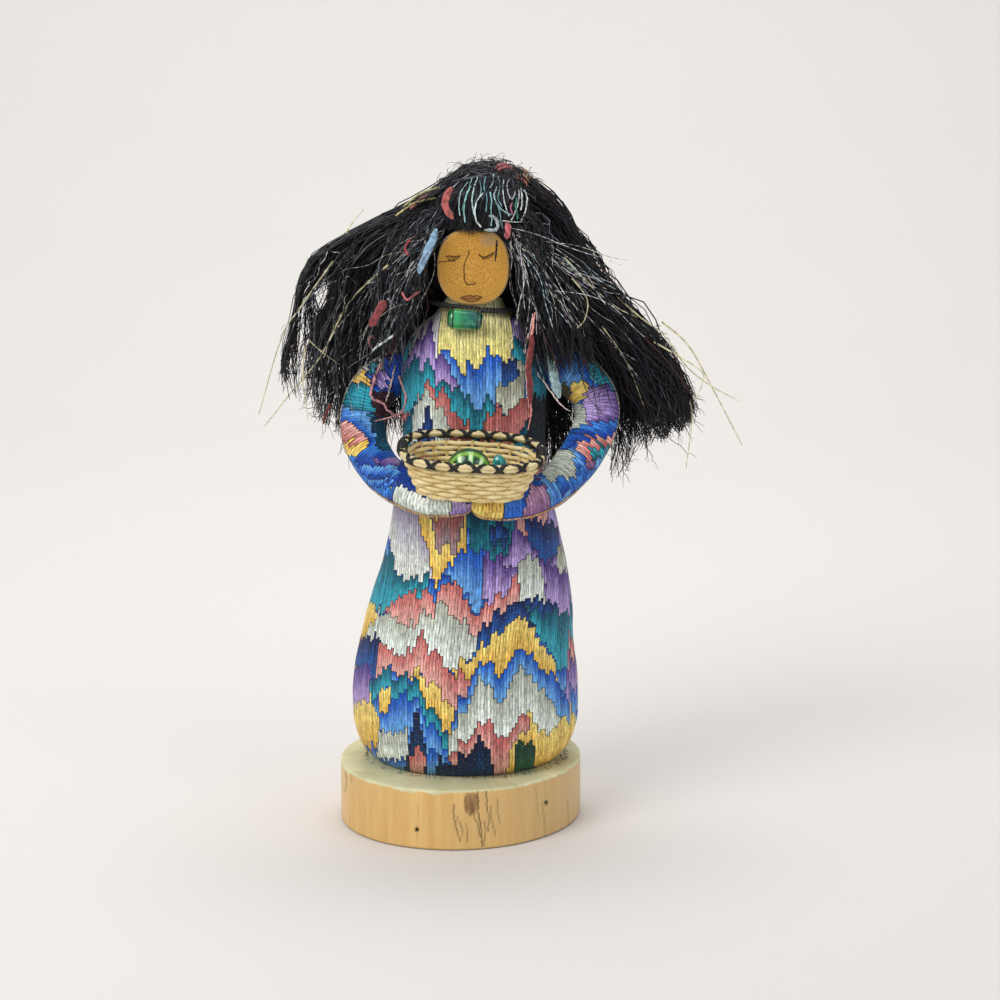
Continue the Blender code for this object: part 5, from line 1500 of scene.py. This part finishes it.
def make_silver_threads(random):
    """Light threads beside the face and the black fringe over it."""
    # the silver threads' strong light and dark dashes along their length are painted glints
    silver = thread_material("silver_thread", 0.35, 0.6, shades=((0.42, 0.12), (0.56, 1.3)))
    stations = 14
    routes, radii, colours = [], [], []
    for number in range(SILVER_COUNT + FRINGE_COUNT):
        black = number >= SILVER_COUNT
        line = fringe_line(random) if black else silver_line(number, random)
        lift = random.uniform(0.0006, 0.0024)
        route = resampled(laid([tuple(place) for place in line], lift, over=0.0 if black else 0.0018), stations)
        phase = random.uniform(0, 6.3, 3)
        wave = np.sin(np.linspace(0, random.uniform(6, 16), stations)[:, None] + phase)
        routes.append(route + wave * (0.0004 if black else 0.0007))
        radii.append(np.full(stations, random.uniform(0.00008, 0.00018) * (1.6 if black else 0.95)))
        if black:
            colours.append(np.array((0.006, 0.007, 0.010)) * random.uniform(0.5, 3.5))
        else:
            shade = random.uniform(0.6, 1.1)
            colours.append([linear(v) * shade for v in SILVER_TONES[number % len(SILVER_TONES)]])
    ride(strand_mesh("silver_threads", routes, np.array(radii), silver, sides=3, colours=colours))


# ---------------------------------------------------------------- face
FACE_MIDDLE = HEAD_CENTRE - np.array((0.0, 0.0188, 0.0042))
# drawn lines: (strength, half-width in thousandths of the photo, places)
INK = (
    (0.80, 0.55, ((436, 263.6), (442, 261.6), (447, 261.2), (455, 260.9))),
    (0.95, 0.60, ((446, 256.6), (450, 256.0), (455, 256.8), (460, 255.9))),
    (0.90, 0.50, ((448, 260.0), (452, 260.4), (456, 259.6), (459.5, 257.0))),
    (0.85, 0.45, ((447.5, 257.6), (450, 259.4), (451.5, 257.0), (453.5, 259.6), (455, 257.2), (457, 259.0),
                  (458.5, 256.6))),
    (0.95, 0.65, ((479, 254.8), (483.2, 257.6), (488, 255.9), (494, 252.6))),
    (0.90, 0.55, ((481.2, 256.8), (484.4, 258.8), (488, 257.9), (493, 255.0))),
    (0.70, 0.45, ((482, 256), (483, 259.5))),
    (0.70, 0.45, ((486.5, 256), (487.5, 259))),
    (0.90, 0.55, ((468.4, 250.8), (468.8, 253.6), (467.0, 258), (464.6, 263), (464.0, 269), (464.3, 277),
                  (464.9, 281.6))),
    (0.90, 0.60, ((464.9, 281.6), (467.4, 284.8), (471.5, 284.2), (474.6, 284.3), (475.2, 282.6))),
    (0.85, 0.55, ((460.5, 297.6), (466, 296.2), (470, 295.4), (473, 296.4), (477, 295.6), (482, 297.2))),
    (0.85, 0.55, ((460.5, 297.6), (466, 300.4), (471.5, 302.0), (477, 300.6), (482, 297.2))),
    (0.65, 0.40, ((463, 298.2), (468, 298.8), (472, 298.0), (477, 298.6), (480, 297.8))),
)


def spot_mark(photo, middle, half_width, half_height, strength):
    """An oval mark that fades out at its edge."""
    away = (photo - np.array(middle)) / np.array((half_width, half_height))
    return np.clip(strength - away[..., 0] ** 2 - away[..., 1] ** 2, 0, 1)


def make_face():
    """The suede oval, with thin drawn features as colour alone."""
    size = 190
    ticks = np.linspace(-1, 1, size + 1)
    u, v = np.meshgrid(ticks, ticks, indexing="ij")
    ring = np.maximum(np.abs(u), np.abs(v))
    angle = np.arctan2(v, u)
    outline = np.abs(np.cos(angle)) ** FACE_SQUARENESS + np.abs(np.sin(angle)) ** FACE_SQUARENESS
    outline = outline ** (-1 / FACE_SQUARENESS)
    x = ring * outline * np.cos(angle) * FACE_WIDTH / 2
    z = ring * outline * np.sin(angle) * FACE_HEIGHT / 2
    # a slight crown and a rounded edge
    thick, edge_round, crown = 0.0034, 0.0014, 0.0005
    near_edge = np.clip((ring - 0.92) / 0.08, 0, 1)
    y = edge_round * (1 - np.sqrt(1 - near_edge**2 * 0.999)) - crown * (1 - ring**2)
    points = np.stack((x, y, z), -1) + FACE_MIDDLE
    photo = in_photo(points)
    ink = np.zeros(photo.shape[:-1])
    for strength, width, stroke in INK:
        ink = np.maximum(ink, strength * np.clip(1.6 - nearest_place(photo, stroke)[1] / width, 0, 1))
    lips = spot_mark(photo, (471.3, 298.5), 10.6, 3.2, 1.25)
    # a greyer patch near the top right of the face
    patch = spot_mark(photo, (489, 239.5), 9.5, 7.5, 1.3)
    # a lighter band round the edge, and on the edge wall: painted highlight on the rounded edge
    rim = np.clip((ring - 0.90) / 0.1, 0, 1)
    index = np.arange((size + 1) ** 2).reshape(size + 1, size + 1)
    quads = np.stack((index[:-1, :-1], index[1:, :-1], index[1:, 1:], index[:-1, 1:]), -1).reshape(-1, 4)
    flat = points.reshape(-1, 3)
    edge = np.concatenate((index[:-1, 0], index[-1, :-1], index[:0:-1, -1], index[0, :0:-1]))
    behind = flat[edge] + np.array((0.0, thick - edge_round, 0.0))
    start = len(flat)
    back = np.arange(len(edge)) + start
    wall = np.stack((edge, back, np.roll(back, -1), np.roll(edge, -1)), -1)
    suede = Material("tan_suede", roughness=0.92, specular=0.15, sheen=0.35)
    inked, lip, light, grey_patch = suede.channels("drawn")
    nap = suede.noise(1900.0, detail=3, rough=0.75)
    cloud = suede.noise(95.0, detail=3)
    tone = suede.mix(suede.ramp(nap, (0.38, 0.0), (0.62, 1.0)), srgb(154, 106, 34), srgb(222, 170, 84))
    tone = suede.mix(suede.ramp(cloud, (0.35, 0.0), (0.7, 0.55)), tone, srgb(190, 138, 54))
    # the lighter edge band: painted highlight
    tone = suede.mix(suede.math("MULTIPLY", light, 0.55), tone, srgb(226, 192, 128))
    # a greyer patch near the top right of the face
    tone = suede.mix(suede.math("MULTIPLY", grey_patch, 0.55), tone, srgb(150, 134, 112))
    tone = suede.mix(suede.math("MULTIPLY", lip, 0.62), tone, srgb(142, 74, 52))
    tone = suede.mix(inked, tone, srgb(48, 28, 16))
    suede.base(tone)
    suede.bump(suede.math("ADD", nap, suede.math("MULTIPLY", cloud, 0.6)), 0.00035, 0.6)
    face = quick_mesh("suede_face", np.concatenate((flat, behind)), np.concatenate((quads, wall)), suede)
    front = np.stack((ink, lips, rim, patch), -1).reshape(-1, 4)
    # the edge wall carries the painted highlight too
    write_colours(face, "drawn", np.concatenate((front, np.tile((0.0, 0.0, 0.6, 0.0), (len(edge), 1)))))
    ride(face, "face")


def make_head_cloth():
    """The head's own cloth, which shows only in slits of the hair."""
    cloth = Material("dark_cloth", roughness=0.9, specular=0.2, sheen=0.2)
    weave = cloth.noise(900.0, detail=2)
    cloth.base(cloth.mix(weave, srgb(14, 14, 18), srgb(40, 38, 44)))
    cloth.bump(weave, 0.0002, 0.6)
    head = NODES["head"]
    head.data.materials.clear()
    head.data.materials.append(cloth.material)


# ---------------------------------------------------------------- neck cord and its bead
def make_neck_cord():
    """Two black plies, twisted together round the neck."""
    cord = thread_material("waxed_cord", 0.42, 0.55, twist=1200.0)
    stations, twists, ply_offset = 420, 34, 0.0007
    turn = np.linspace(0, 2 * math.pi, stations, endpoint=False)
    chin = FACE_MIDDLE[2] - FACE_HEIGHT / 2
    centre = np.array((float(body_axis(BODY_HEIGHT)), 0.0, chin - GAP - CORD_THICK / 2))
    tip = np.array(Matrix.Rotation(CORD_SLOPE, 3, "Y"))
    routes = []
    for ply in range(2):
        wind = turn * twists + ply * math.pi
        radius = CORD_HALF_WIDTH + ply_offset * np.cos(wind)
        depth = np.where(np.sin(turn) < 0, CORD_FRONT / CORD_HALF_WIDTH, 1.0)
        ring = np.stack((radius * np.cos(turn), radius * np.sin(turn) * depth, ply_offset * np.sin(wind)), -1)
        routes.append(ring @ tip.T + centre)
    tints = ((0.012, 0.012, 0.015), (0.022, 0.021, 0.024))
    ride(strand_mesh("twisted_cord", routes, 0.00078, cord, 8, tints, closed=True), "neck_cord")


def turned_mesh(name, profile, material, steps=48, shape=None):
    """A turned form about Z from (radius, height) rows, closed at both ends."""
    radius, height = np.asarray(profile, float).T[:, :, None]
    turn = np.arange(steps) * 2 * math.pi / steps
    points = np.stack((radius * np.cos(turn), radius * np.sin(turn), height + 0 * turn), -1).reshape(-1, 3)
    if shape is not None:
        points = shape(points)
    return quick_mesh(name, points, ring_quads(len(radius), steps), material)


def make_neck_bead():
    """A polished green barrel with darker ends."""
    low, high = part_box("neck_bead")
    centre = (Vector(low) + Vector(high)) / 2
    stone = Material("green_stone", roughness=0.12, specular=0.6, coat=0.6, coat_roughness=0.05)
    half, corner, end, tilt = 0.0085, 0.0031, 0.0019, math.radians(4)
    _, _, z = stone.split(stone.place)
    along = stone.math("MULTIPLY_ADD", z, 1 / (2 * half), 0.5)
    veins = stone.noise(260.0, detail=4, rough=0.65, distortion=1.5)
    # lighter green towards the left end, dark teal towards the right: partly the stone's own colour, partly painted
    # light falling from the left
    colour = stone.ramp(
        along, (0.0, srgb(6, 30, 18)), (0.10, srgb(30, 120, 54)), (0.28, srgb(36, 158, 88)), (0.50, srgb(2, 108, 82)),
        (0.86, srgb(0, 78, 80)), (1.0, srgb(2, 28, 30)),
    )
    colour = stone.mix(stone.ramp(veins, (0.48, 0.0), (0.68, 0.6)), colour, srgb(56, 164, 124))
    colour = stone.mix(stone.ramp(veins, (0.30, 0.8), (0.42, 0.0)), colour, srgb(6, 46, 30))
    stone.base(colour)
    profile = [(0.0, -half)]
    for step in range(9):
        turn = math.radians(-90 + 90 * step / 8)
        profile.append((end + corner * math.cos(turn), -half + corner + corner * math.sin(turn)))
    lower_end = profile[:]
    profile += [(0.00505, -0.002), (0.0051, 0.0), (0.00505, 0.002)]
    profile += [(radius, -height) for radius, height in reversed(lower_end)]
    bead = turned_mesh("green_bead", profile, stone)
    bead.rotation_euler = (0.0, math.radians(90) + tilt, 0.0)
    bead.location = centre
    ride(bead, "neck_bead")
    wire = thread_material("bead_thread", 0.4, 0.5)
    turn = np.linspace(0, 2 * math.pi, 48, endpoint=False)
    routes = []
    for offset in (-0.0058, 0.0061):
        ring = np.stack((np.full(48, offset), 0.0050 * np.cos(turn), 0.0050 * np.sin(turn)), -1)
        routes.append(ring @ np.array(Matrix.Rotation(tilt, 3, "Y")).T + np.array(centre))
    tints = ((0.01, 0.01, 0.012),) * 2
    ride(strand_mesh("bead_thread", routes, 0.0003, wire, 6, tints, closed=True))


# ---------------------------------------------------------------- basket
def cane_material(name, colours, rough=0.5):
    """Split cane in a light, a middle and a dark tone."""
    cane = Material(name, roughness=rough, specular=0.4)
    grain = cane.noise((160.0, 160.0, 1500.0), detail=3, rough=0.6)
    patch = cane.noise(130.0, detail=2)
    light, middle, dark = colours
    tone = cane.mix(cane.ramp(patch, (0.3, 0.0), (0.7, 1.0)), middle, light)
    tone = cane.mix(cane.ramp(grain, (0.30, 0.55), (0.44, 0.0)), tone, dark)
    cane.base(tone)
    cane.bump(grain, 0.0002, 0.5)
    return cane


def basket_ring(share, stations, wave=0.0, waves=16, phase=0.0, inset=0.0, lift=0.0):
    """A closed ring round the basket at a share of its height, which may weave in and out."""
    turn = np.linspace(0, 2 * math.pi, stations, endpoint=False)
    half = basket_half(share)
    ring = np.array([basket_outline(a) * half for a in turn])
    tangent = unit(np.roll(ring, -1, 0) - np.roll(ring, 1, 0))
    outward = np.stack((tangent[:, 1], -tangent[:, 0]), -1)
    steps = np.linalg.norm(np.roll(ring, -1, 0) - ring, axis=1)
    along = np.concatenate(([0], np.cumsum(steps)[:-1])) / steps.sum() * 2 * math.pi
    ring = ring + outward * (wave * np.sin(along * waves + phase) - inset)[:, None]
    height = np.full(stations, BASKET_HEIGHT * share + lift)
    return np.stack((ring[:, 0], ring[:, 1], height), -1), outward, along


def make_basket():
    """Woven rows on upright stakes, and a floor of woven rings on a plate of spokes."""
    cane = cane_material("natural_cane", (srgb(238, 222, 172), srgb(214, 188, 124), srgb(120, 90, 44)))
    stake_cane = cane_material("stake_cane", (srgb(214, 190, 128), srgb(190, 158, 96), srgb(112, 84, 44)))
    rows, stakes, floor_rings, plate_steps = 7, 32, 11, 64
    first_row, half_wall, floor_level, floor_inset = 0.0012, BASKET_WALL / 2, 0.0011, 0.001
    top = BASKET_HEIGHT - BASKET_RIM_THICK / 2 - GAP
    pitch = (top - first_row) / (rows - 0.4)
    routes = []
    for row in range(rows):
        share = (first_row + pitch * row) / BASKET_HEIGHT
        ring, _, _ = basket_ring(share, 260, 0.00062, 13, row * math.pi, half_wall)
        routes.append(in_basket(ring))
    ride(strand_mesh("basket_weave", routes, 0.00108, cane, sides=8, closed=True), "basket")
    levels = [basket_ring(s, stakes * 4, inset=half_wall)[0] for s in np.linspace(0.02, top / BASKET_HEIGHT, 6)]
    routes = [in_basket(np.array([ring[number * 4] for ring in levels])) for number in range(stakes)]
    ride(strand_mesh("basket_stakes", routes, 0.0008, stake_cane, sides=8))
    routes = []
    turn = np.linspace(0, 2 * math.pi, 96, endpoint=False)
    outline = np.array([basket_outline(a) for a in turn]) * (basket_half(0.0) - floor_inset)
    for number in range(floor_rings):
        place = outline * ((number + 1) / (floor_rings + 0.4))
        ripple = 0.0003 * np.sin(turn * 16 + number * math.pi)
        routes.append(in_basket(np.stack((place[:, 0], place[:, 1], floor_level + ripple), -1)))
    ride(strand_mesh("basket_floor", routes, 0.0010, cane, sides=6, closed=True))
    ring, _, _ = basket_ring(0.0, plate_steps, inset=floor_inset)
    level = np.full(plate_steps, 0.0010)
    plate = np.concatenate([np.stack((ring[:, 0] * k, ring[:, 1] * k, level), -1) for k in (0.0, 0.5, 1.0)])
    ride(quick_mesh("basket_floor_spokes", in_basket(plate), ring_quads(3, plate_steps), cane))


def make_rim():
    """Three pale hoops, bound by black strips that cross on the outside of the brim."""
    cane = cane_material("rim_cane", (srgb(226, 210, 164), srgb(200, 180, 128), srgb(112, 90, 54)))
    black = cane_material("black_cane", (srgb(26, 25, 27), srgb(14, 14, 16), srgb(52, 50, 50)), 0.35)
    stations = 306
    ring, outward, along = basket_ring(1.0, stations)
    out = np.concatenate((outward, np.zeros((stations, 1))), 1)
    up = np.array((0.0, 0.0, 1.0))
    hoops = [ring + out * a + up * b for a, b in ((0.0007, 0.0007), (-0.0008, 0.0006), (0.0006, -0.0008))]
    hoops = strand_mesh("rim_hoops", [in_basket(h) for h in hoops], 0.00102, cane, sides=8, closed=True)
    ride(hoops, "basket_rim")
    crossings = 17
    strips = []
    for hand in (1, -1):
        for shift in (-0.60, -0.42, -0.24, -0.08, 0.08, 0.24, 0.42, 0.60):
            wind = hand * crossings * along + shift * hand
            loose = (1 + 0.10 * np.sin(along * 23 + shift * 9 + hand))[:, None]
            side, high = np.cos(wind)[:, None] * 0.00190, np.sin(wind)[:, None] * 0.00185
            strips.append(in_basket(ring + out * side * loose + up * high * loose))
    ride(strand_mesh("rim_lashing", strips, 0.00036, black, sides=4, closed=True))
    # the ends of the oval are wrapped closely
    stations, turns, reach = 150, 4.5, 0.0022
    wraps = []
    for middle in (0.0, math.pi):
        turn = np.linspace(middle - 0.22, middle + 0.22, stations)
        place = np.array([basket_outline(a) * BASKET_WIDTH / 2 for a in turn])
        way = unit(np.gradient(place, axis=0))
        side = np.stack((way[:, 1], -way[:, 0], np.zeros(stations)), -1)
        route = np.concatenate((place, np.full((stations, 1), BASKET_HEIGHT)), 1)
        for shift in range(3):
            wind = (np.linspace(0, 2 * math.pi * turns, stations) + shift * 0.6)[:, None]
            wraps.append(in_basket(route + side * np.cos(wind) * reach + up * np.sin(wind) * reach))
    ride(strand_mesh("rim_wraps", wraps, 0.00045, black, sides=6))


def ball_mesh(name, size, material):
    turn = np.linspace(0, math.pi, 25)
    profile = np.stack((0.5 * np.sin(turn), -0.5 * np.cos(turn)), -1)
    return turned_mesh(name, profile, material, shape=lambda points: points * np.array(size))


def glass_material():
    """Striped glass: pale ribs fan out from the foot of the bead's front, round a small dark eye."""
    glass = Material("striped_glass", roughness=0.22, specular=0.45, coat=0.25, coat_roughness=0.10)

    def length(across, down):
        return glass.math("SQRT", glass.math("ADD", glass.math("POWER", across, 2.0), glass.math("POWER", down, 2.0)))

    x, _, z = glass.split(glass.place)
    wide = glass.math("MULTIPLY", x, 2 / STRIPED_BEAD[0])
    high = glass.math("MULTIPLY", z, 2 / STRIPED_BEAD[2])
    lean = glass.math("ARCTAN2", wide, glass.math("ADD", high, 1.5))
    streak = glass.math("MULTIPLY", glass.math("SUBTRACT", glass.noise(420.0, detail=2), 0.5), 0.9)
    ribs = glass.math("ADD", glass.math("SINE", glass.math("MULTIPLY_ADD", lean, 26.0, 0.8)), streak)
    colour = glass.ramp(
        glass.math("MULTIPLY_ADD", ribs, 0.5, 0.5), (0.0, srgb(4, 44, 34)), (0.40, srgb(8, 84, 50)),
        (0.64, srgb(30, 140, 74)), (0.80, srgb(190, 226, 160)), (1.0, srgb(226, 242, 206)),
    )
    far = length(wide, high)
    colour = glass.mix(glass.ramp(far, (0.80, 0.0), (0.90, 0.7)), colour, srgb(150, 206, 70))
    colour = glass.mix(glass.ramp(far, (0.92, 0.0), (0.98, 0.9)), colour, srgb(6, 54, 36))
    eye = length(glass.math("MULTIPLY", wide, 1.2), glass.math("SUBTRACT", high, 0.45))
    colour = glass.mix(glass.ramp(eye, (0.15, 1.0), (0.20, 0.0)), colour, srgb(8, 12, 14))
    glass.base(colour)
    return glass


def make_basket_beads():
    bead = ball_mesh("striped_bead_glass", STRIPED_BEAD, glass_material())
    bead.matrix_world = BASKET_PLACE @ Matrix.Translation((-0.0010, 0.0, BASKET_WALL + GAP + STRIPED_BEAD[2] / 2))
    ride(bead, "striped_bead")
    stone = Material("turquoise_stone", roughness=0.18, specular=0.6, coat=0.5, coat_roughness=0.08)
    veins = stone.noise(520.0, detail=4, rough=0.7, distortion=1.2)
    stone.base(stone.ramp(
        veins, (0.30, srgb(4, 44, 52)), (0.48, srgb(10, 120, 124)), (0.60, srgb(44, 170, 160)),
        (0.74, srgb(170, 226, 214)),
    ))
    stone.bump(stone.cells(520.0), 0.0006, 0.8)
    nugget = ball_mesh("turquoise_bead", NUGGET, stone)
    nugget.matrix_world = (
        BASKET_PLACE
        @ Matrix.Translation((0.0165, 0.0, BASKET_WALL + 2 * GAP))
        @ Matrix.Rotation(-math.radians(15), 4, "Y")
        @ Matrix.Translation((0.0, 0.0, NUGGET[2] / 2))
    )
    ride(nugget, "turquoise_nugget")


# ---------------------------------------------------------------- wooden base
# cracks: (strength, half-width, places); the knot and the nail holes: places in the photo
CRACKS = (
    (1.00, 0.7, ((478, 792), (478, 808), (480, 822), (482, 834), (482, 846))),
    (0.80, 0.6, ((472, 800), (474, 816), (478, 826), (481, 838))),
    (0.70, 0.6, ((484, 822), (486, 834), (484, 846))),
    (0.90, 0.6, ((454, 805), (454, 818), (457, 830), (460, 842))),
    (0.70, 0.6, ((457, 816), (462, 828), (463, 836))),
    (0.60, 0.6, ((466, 824), (468, 832), (467, 842))),
    (0.85, 0.6, ((486, 790), (487, 804), (489, 820), (488, 832))),
    (0.60, 0.6, ((490, 806), (492, 822), (496, 836))),
    (0.55, 0.6, ((497, 799), (498, 812), (500, 824))),
    (0.40, 0.6, ((542, 802), (544, 818), (545, 838))),
    (0.35, 0.5, ((536, 786), (537, 800), (539, 818))),
    (0.55, 0.6, ((345, 766), (347, 780), (345, 792))),
    (0.40, 0.5, ((351, 768), (352, 782))),
    (0.30, 0.5, ((418, 806), (417, 838))),
    (0.35, 0.5, ((567, 800), (569, 816), (568, 826))),
)
KNOT = (471, 803)
NAIL_MARKS = ((417, 830), (546, 803))


def wood_material():
    wood = Material("varnished_wood", roughness=0.38, specular=0.45, coat=0.12, coat_roughness=0.25)
    cracked, knotted, pierced, painted = wood.channels("wear")
    x, _, z = wood.split(wood.place)
    grain = wood.noise((240.0, 240.0, 16.0), detail=5, rough=0.62, distortion=0.25)
    broad = wood.noise(26.0, detail=3)
    scuffs = wood.noise((520.0, 520.0, 50.0), detail=4, rough=0.7)
    smear = wood.noise((700.0, 700.0, 90.0), detail=4, rough=0.7)
    splinters = wood.noise((1500.0, 1500.0, 130.0), detail=3, rough=0.7)
    ragged = wood.noise((330.0, 330.0, 200.0), detail=4, rough=0.75)
    # varnished side, greyer to the right as painted shade, with scuffs, knot, cracks and nail holes, and darker towards
    # the foot
    side = wood.mix(wood.ramp(grain, (0.34, 0.0), (0.66, 1.0)), srgb(208, 166, 98), srgb(224, 186, 118))
    side = wood.mix(wood.ramp(broad, (0.40, 0.0), (0.68, 0.5)), side, srgb(206, 172, 112))
    # greyer towards the right: painted shade
    right_shade = wood.ramp(wood.math("MULTIPLY_ADD", x, 9.0, 0.35), (0.25, 0.0), (0.9, 1.0))
    side = wood.mix(wood.math("MULTIPLY", right_shade, 0.42), side, srgb(186, 158, 112))
    side = wood.mix(wood.ramp(scuffs, (0.66, 0.0), (0.78, 0.35)), side, srgb(150, 112, 64))
    side = wood.mix(wood.ramp(scuffs, (0.22, 0.35), (0.32, 0.0)), side, srgb(238, 214, 156))
    stain = wood.ramp(wood.math("MULTIPLY", knotted, smear), (0.26, 0.0), (0.44, 0.95))
    knot = wood.mix(wood.ramp(grain, (0.4, 0.0), (0.6, 1.0)), srgb(92, 64, 34), srgb(150, 112, 66))
    side = wood.mix(stain, side, knot)
    cracked = wood.math("MULTIPLY", cracked, wood.ramp(splinters, (0.38, 0.15), (0.50, 1.0)))
    side = wood.mix(cracked, side, srgb(56, 36, 20))
    side = wood.mix(pierced, side, srgb(20, 14, 10))
    foot = wood.ramp(wood.math("MULTIPLY", z, 100.0), (0.03, 0.7), (0.12, 0.0))
    side = wood.mix(foot, side, srgb(120, 112, 98))
    # painted top, with a ragged edge
    patchy = wood.ramp(wood.noise(80.0, detail=4), (0.35, 0.0), (0.7, 1.0))
    paint = wood.mix(patchy, srgb(196, 192, 148), srgb(216, 213, 174))
    paint = wood.mix(wood.ramp(scuffs, (0.60, 0.0), (0.75, 0.6)), paint, srgb(180, 160, 108))
    shown = wood.math("ADD", painted, wood.math("MULTIPLY_ADD", ragged, 1.7, -0.85))
    wood.base(wood.mix(wood.ramp(shown, (0.46, 0.0), (0.54, 1.0)), side, paint))
    wood.rough(wood.ramp(shown, (0.45, 0.40), (0.55, 0.72)))
    height = wood.math("ADD", wood.math("MULTIPLY", grain, 0.5), wood.math("MULTIPLY", ragged, 0.4))
    wood.bump(wood.math("SUBTRACT", height, wood.math("MULTIPLY", cracked, 0.9)), 0.0005, 0.55)
    return wood


def slab_rings():
    """The slab's rings, as shares of its half-width and heights: underside, side, rounded edge and top."""
    rows, crown, edge, foot = 34, 16, 0.0013, 0.0008
    inner = edge / 0.06
    rings = [(share, 0.0) for share in (0.0, 0.4, 0.8, 0.97)] + [(0.994, 0.0002)]
    rings += [(1.0, foot + (SLAB_THICK - edge - foot) * row / rows) for row in range(rows + 1)]
    for step in range(1, 5):
        a = math.radians(90 * step / 4)
        rings.append((1.0 - inner * (1 - math.cos(a)), SLAB_THICK - edge + edge * math.sin(a)))
    rings += [((1.0 - inner) * (1 - step / crown), SLAB_THICK) for step in range(1, crown + 1)]
    return np.array(rings).T


def make_base():
    """The slab: varnished side, pale painted top with a worn edge, a knot, cracks and two nail holes."""
    columns = 660
    turn = np.arange(columns) * 2 * math.pi / columns
    wobble = 1 + 0.0016 * np.sin(turn * 5 + 1.0) + 0.0010 * np.sin(turn * 11 + 0.4)
    half = np.array((SLAB_LONG, SLAB_SHORT)) / 2 - 0.0002
    spot = np.stack((np.cos(turn) * half[0] * wobble, np.sin(turn) * half[1] * wobble), -1)
    cosine, sine = math.cos(SLAB_TURN), math.sin(SLAB_TURN)
    spot = spot @ np.array(((cosine, -sine), (sine, cosine))).T
    shares, heights = slab_rings()
    points = np.zeros((len(shares), columns, 3))
    points[..., :2] = spot[None] * shares[:, None, None]
    points[..., 2] = heights[:, None]
    # chips in the upper edge
    chips = np.array([noise.noise(Vector((a * 14.0, 3.1, 0.0))) for a in turn])
    upper = np.clip((heights - SLAB_THICK + 0.004) / 0.004, 0, 1)[:, None] * (shares > 0.9)[:, None]
    points[..., 2] -= upper * np.clip(chips - 0.25, 0, 1)[None, :] * 0.0012
    photo = in_photo(points)
    front = (points[..., 1] < 0.0) & (shares > 0.985)[:, None]
    dark = np.zeros(photo.shape[:-1])
    for strength, width, stroke in CRACKS:
        wave = 0.3 * np.sin(photo[..., 1] * 0.31 + stroke[0][0]) + 0.35 * np.sin(photo[..., 1] * 0.83)
        moved = photo + np.stack((wave, np.zeros_like(wave)), -1)
        dark = np.maximum(dark, strength * np.clip(1.5 - nearest_place(moved, stroke)[1] / width, 0, 1))
    knot = spot_mark(photo, KNOT, 9.5, 17.0, 1.2)
    holes = np.zeros_like(dark)
    for place in NAIL_MARKS:
        holes = np.maximum(holes, np.clip(2.2 - np.linalg.norm(photo - np.array(place), axis=-1) / 1.2, 0, 1))
    dark, knot, holes = dark * front, knot * front, holes * front
    points[..., 1] += dark * 0.0005 + holes * 0.0012
    quads = ring_quads(len(shares), columns)
    base = quick_mesh("wooden_slab", points.reshape(-1, 3), quads, wood_material())

    def drip(speed, row):
        return np.array([max(noise.noise(Vector((a * speed, row, 0.0))), 0.0) for a in turn])

    depth = SLAB_THICK - 0.0009 - (drip(9.0, 7.7) + 0.5 * drip(41.0, 2.7)) * 0.0016
    painted = np.clip(0.5 + (points[..., 2] - depth[None, :]) / 0.0012, 0, 1)
    write_colours(base, "wear", np.stack((dark, knot, holes, painted), -1))
    ride(base, "wooden_base")


def make_foot_fibres():
    """Short dark fibres and ends of thread that the skirt sheds where it meets the slab."""
    random = np.random.default_rng(61)
    thread = thread_material("foot_fibre", 0.7, 0.3)
    half = float(body_half(np.array(0.0035)))
    routes = []
    for _ in range(120):
        turn = random.uniform(0, 2 * math.pi)
        edge = np.array((math.cos(turn) * half, math.sin(turn) * half * BODY_DEPTH_SHARE))
        start = np.array((float(body_axis(0.0)) + edge[0], edge[1], BASE_TOP + 0.0022 + random.uniform(0, 0.001)))
        out = edge / np.linalg.norm(edge)
        reach = random.uniform(0.0008, 0.0030)
        swing = random.normal(0, 0.6)
        way = np.array((out[0] - out[1] * swing, out[1] + out[0] * swing))
        t = np.linspace(0, 1, 7)[:, None]
        path = start + np.concatenate((way * reach * t, -np.minimum(t * 3.0, 1.0) * (start[2] - BASE_TOP - 0.0002)), 1)
        path[:, :2] += np.sin(t * random.uniform(2, 7) + random.uniform(0, 6)) * random.normal(0, 0.0003, 2)
        routes.append(path)
    tones = np.array((0.010, 0.011, 0.014)) * random.uniform(0.5, 3.0, (len(routes), 1))
    radii = random.uniform(0.00006, 0.00012, (len(routes), 1)) * np.ones(7)
    ride(strand_mesh("foot_fibres", routes, radii, thread, sides=4, colours=tones))


# ---------------------------------------------------------------- main
set_camera()
set_light()
set_floor()
CLOTH = cloth_material()
make_body(CLOTH)
make_arm("stuffed_arm_left", "arm_left", arm_route(ARM_LEFT, HAND_LEFT), LEFT_SLEEVE, CLOTH, 21, (-1.0, 0.0, -0.4))
make_arm("stuffed_arm_right", "arm_right", arm_route(ARM_RIGHT, HAND_RIGHT), RIGHT_SLEEVE, CLOTH, 22, (1.0, 0.0, -0.4))
make_base()
make_foot_fibres()
make_head_cloth()
make_face()
make_neck_cord()
make_neck_bead()
make_basket()
make_rim()
make_basket_beads()
make_hair()
THREADS_RANDOM = np.random.default_rng(41)
make_yarns(THREADS_RANDOM)
make_straws(THREADS_RANDOM)
make_silver_threads(THREADS_RANDOM)
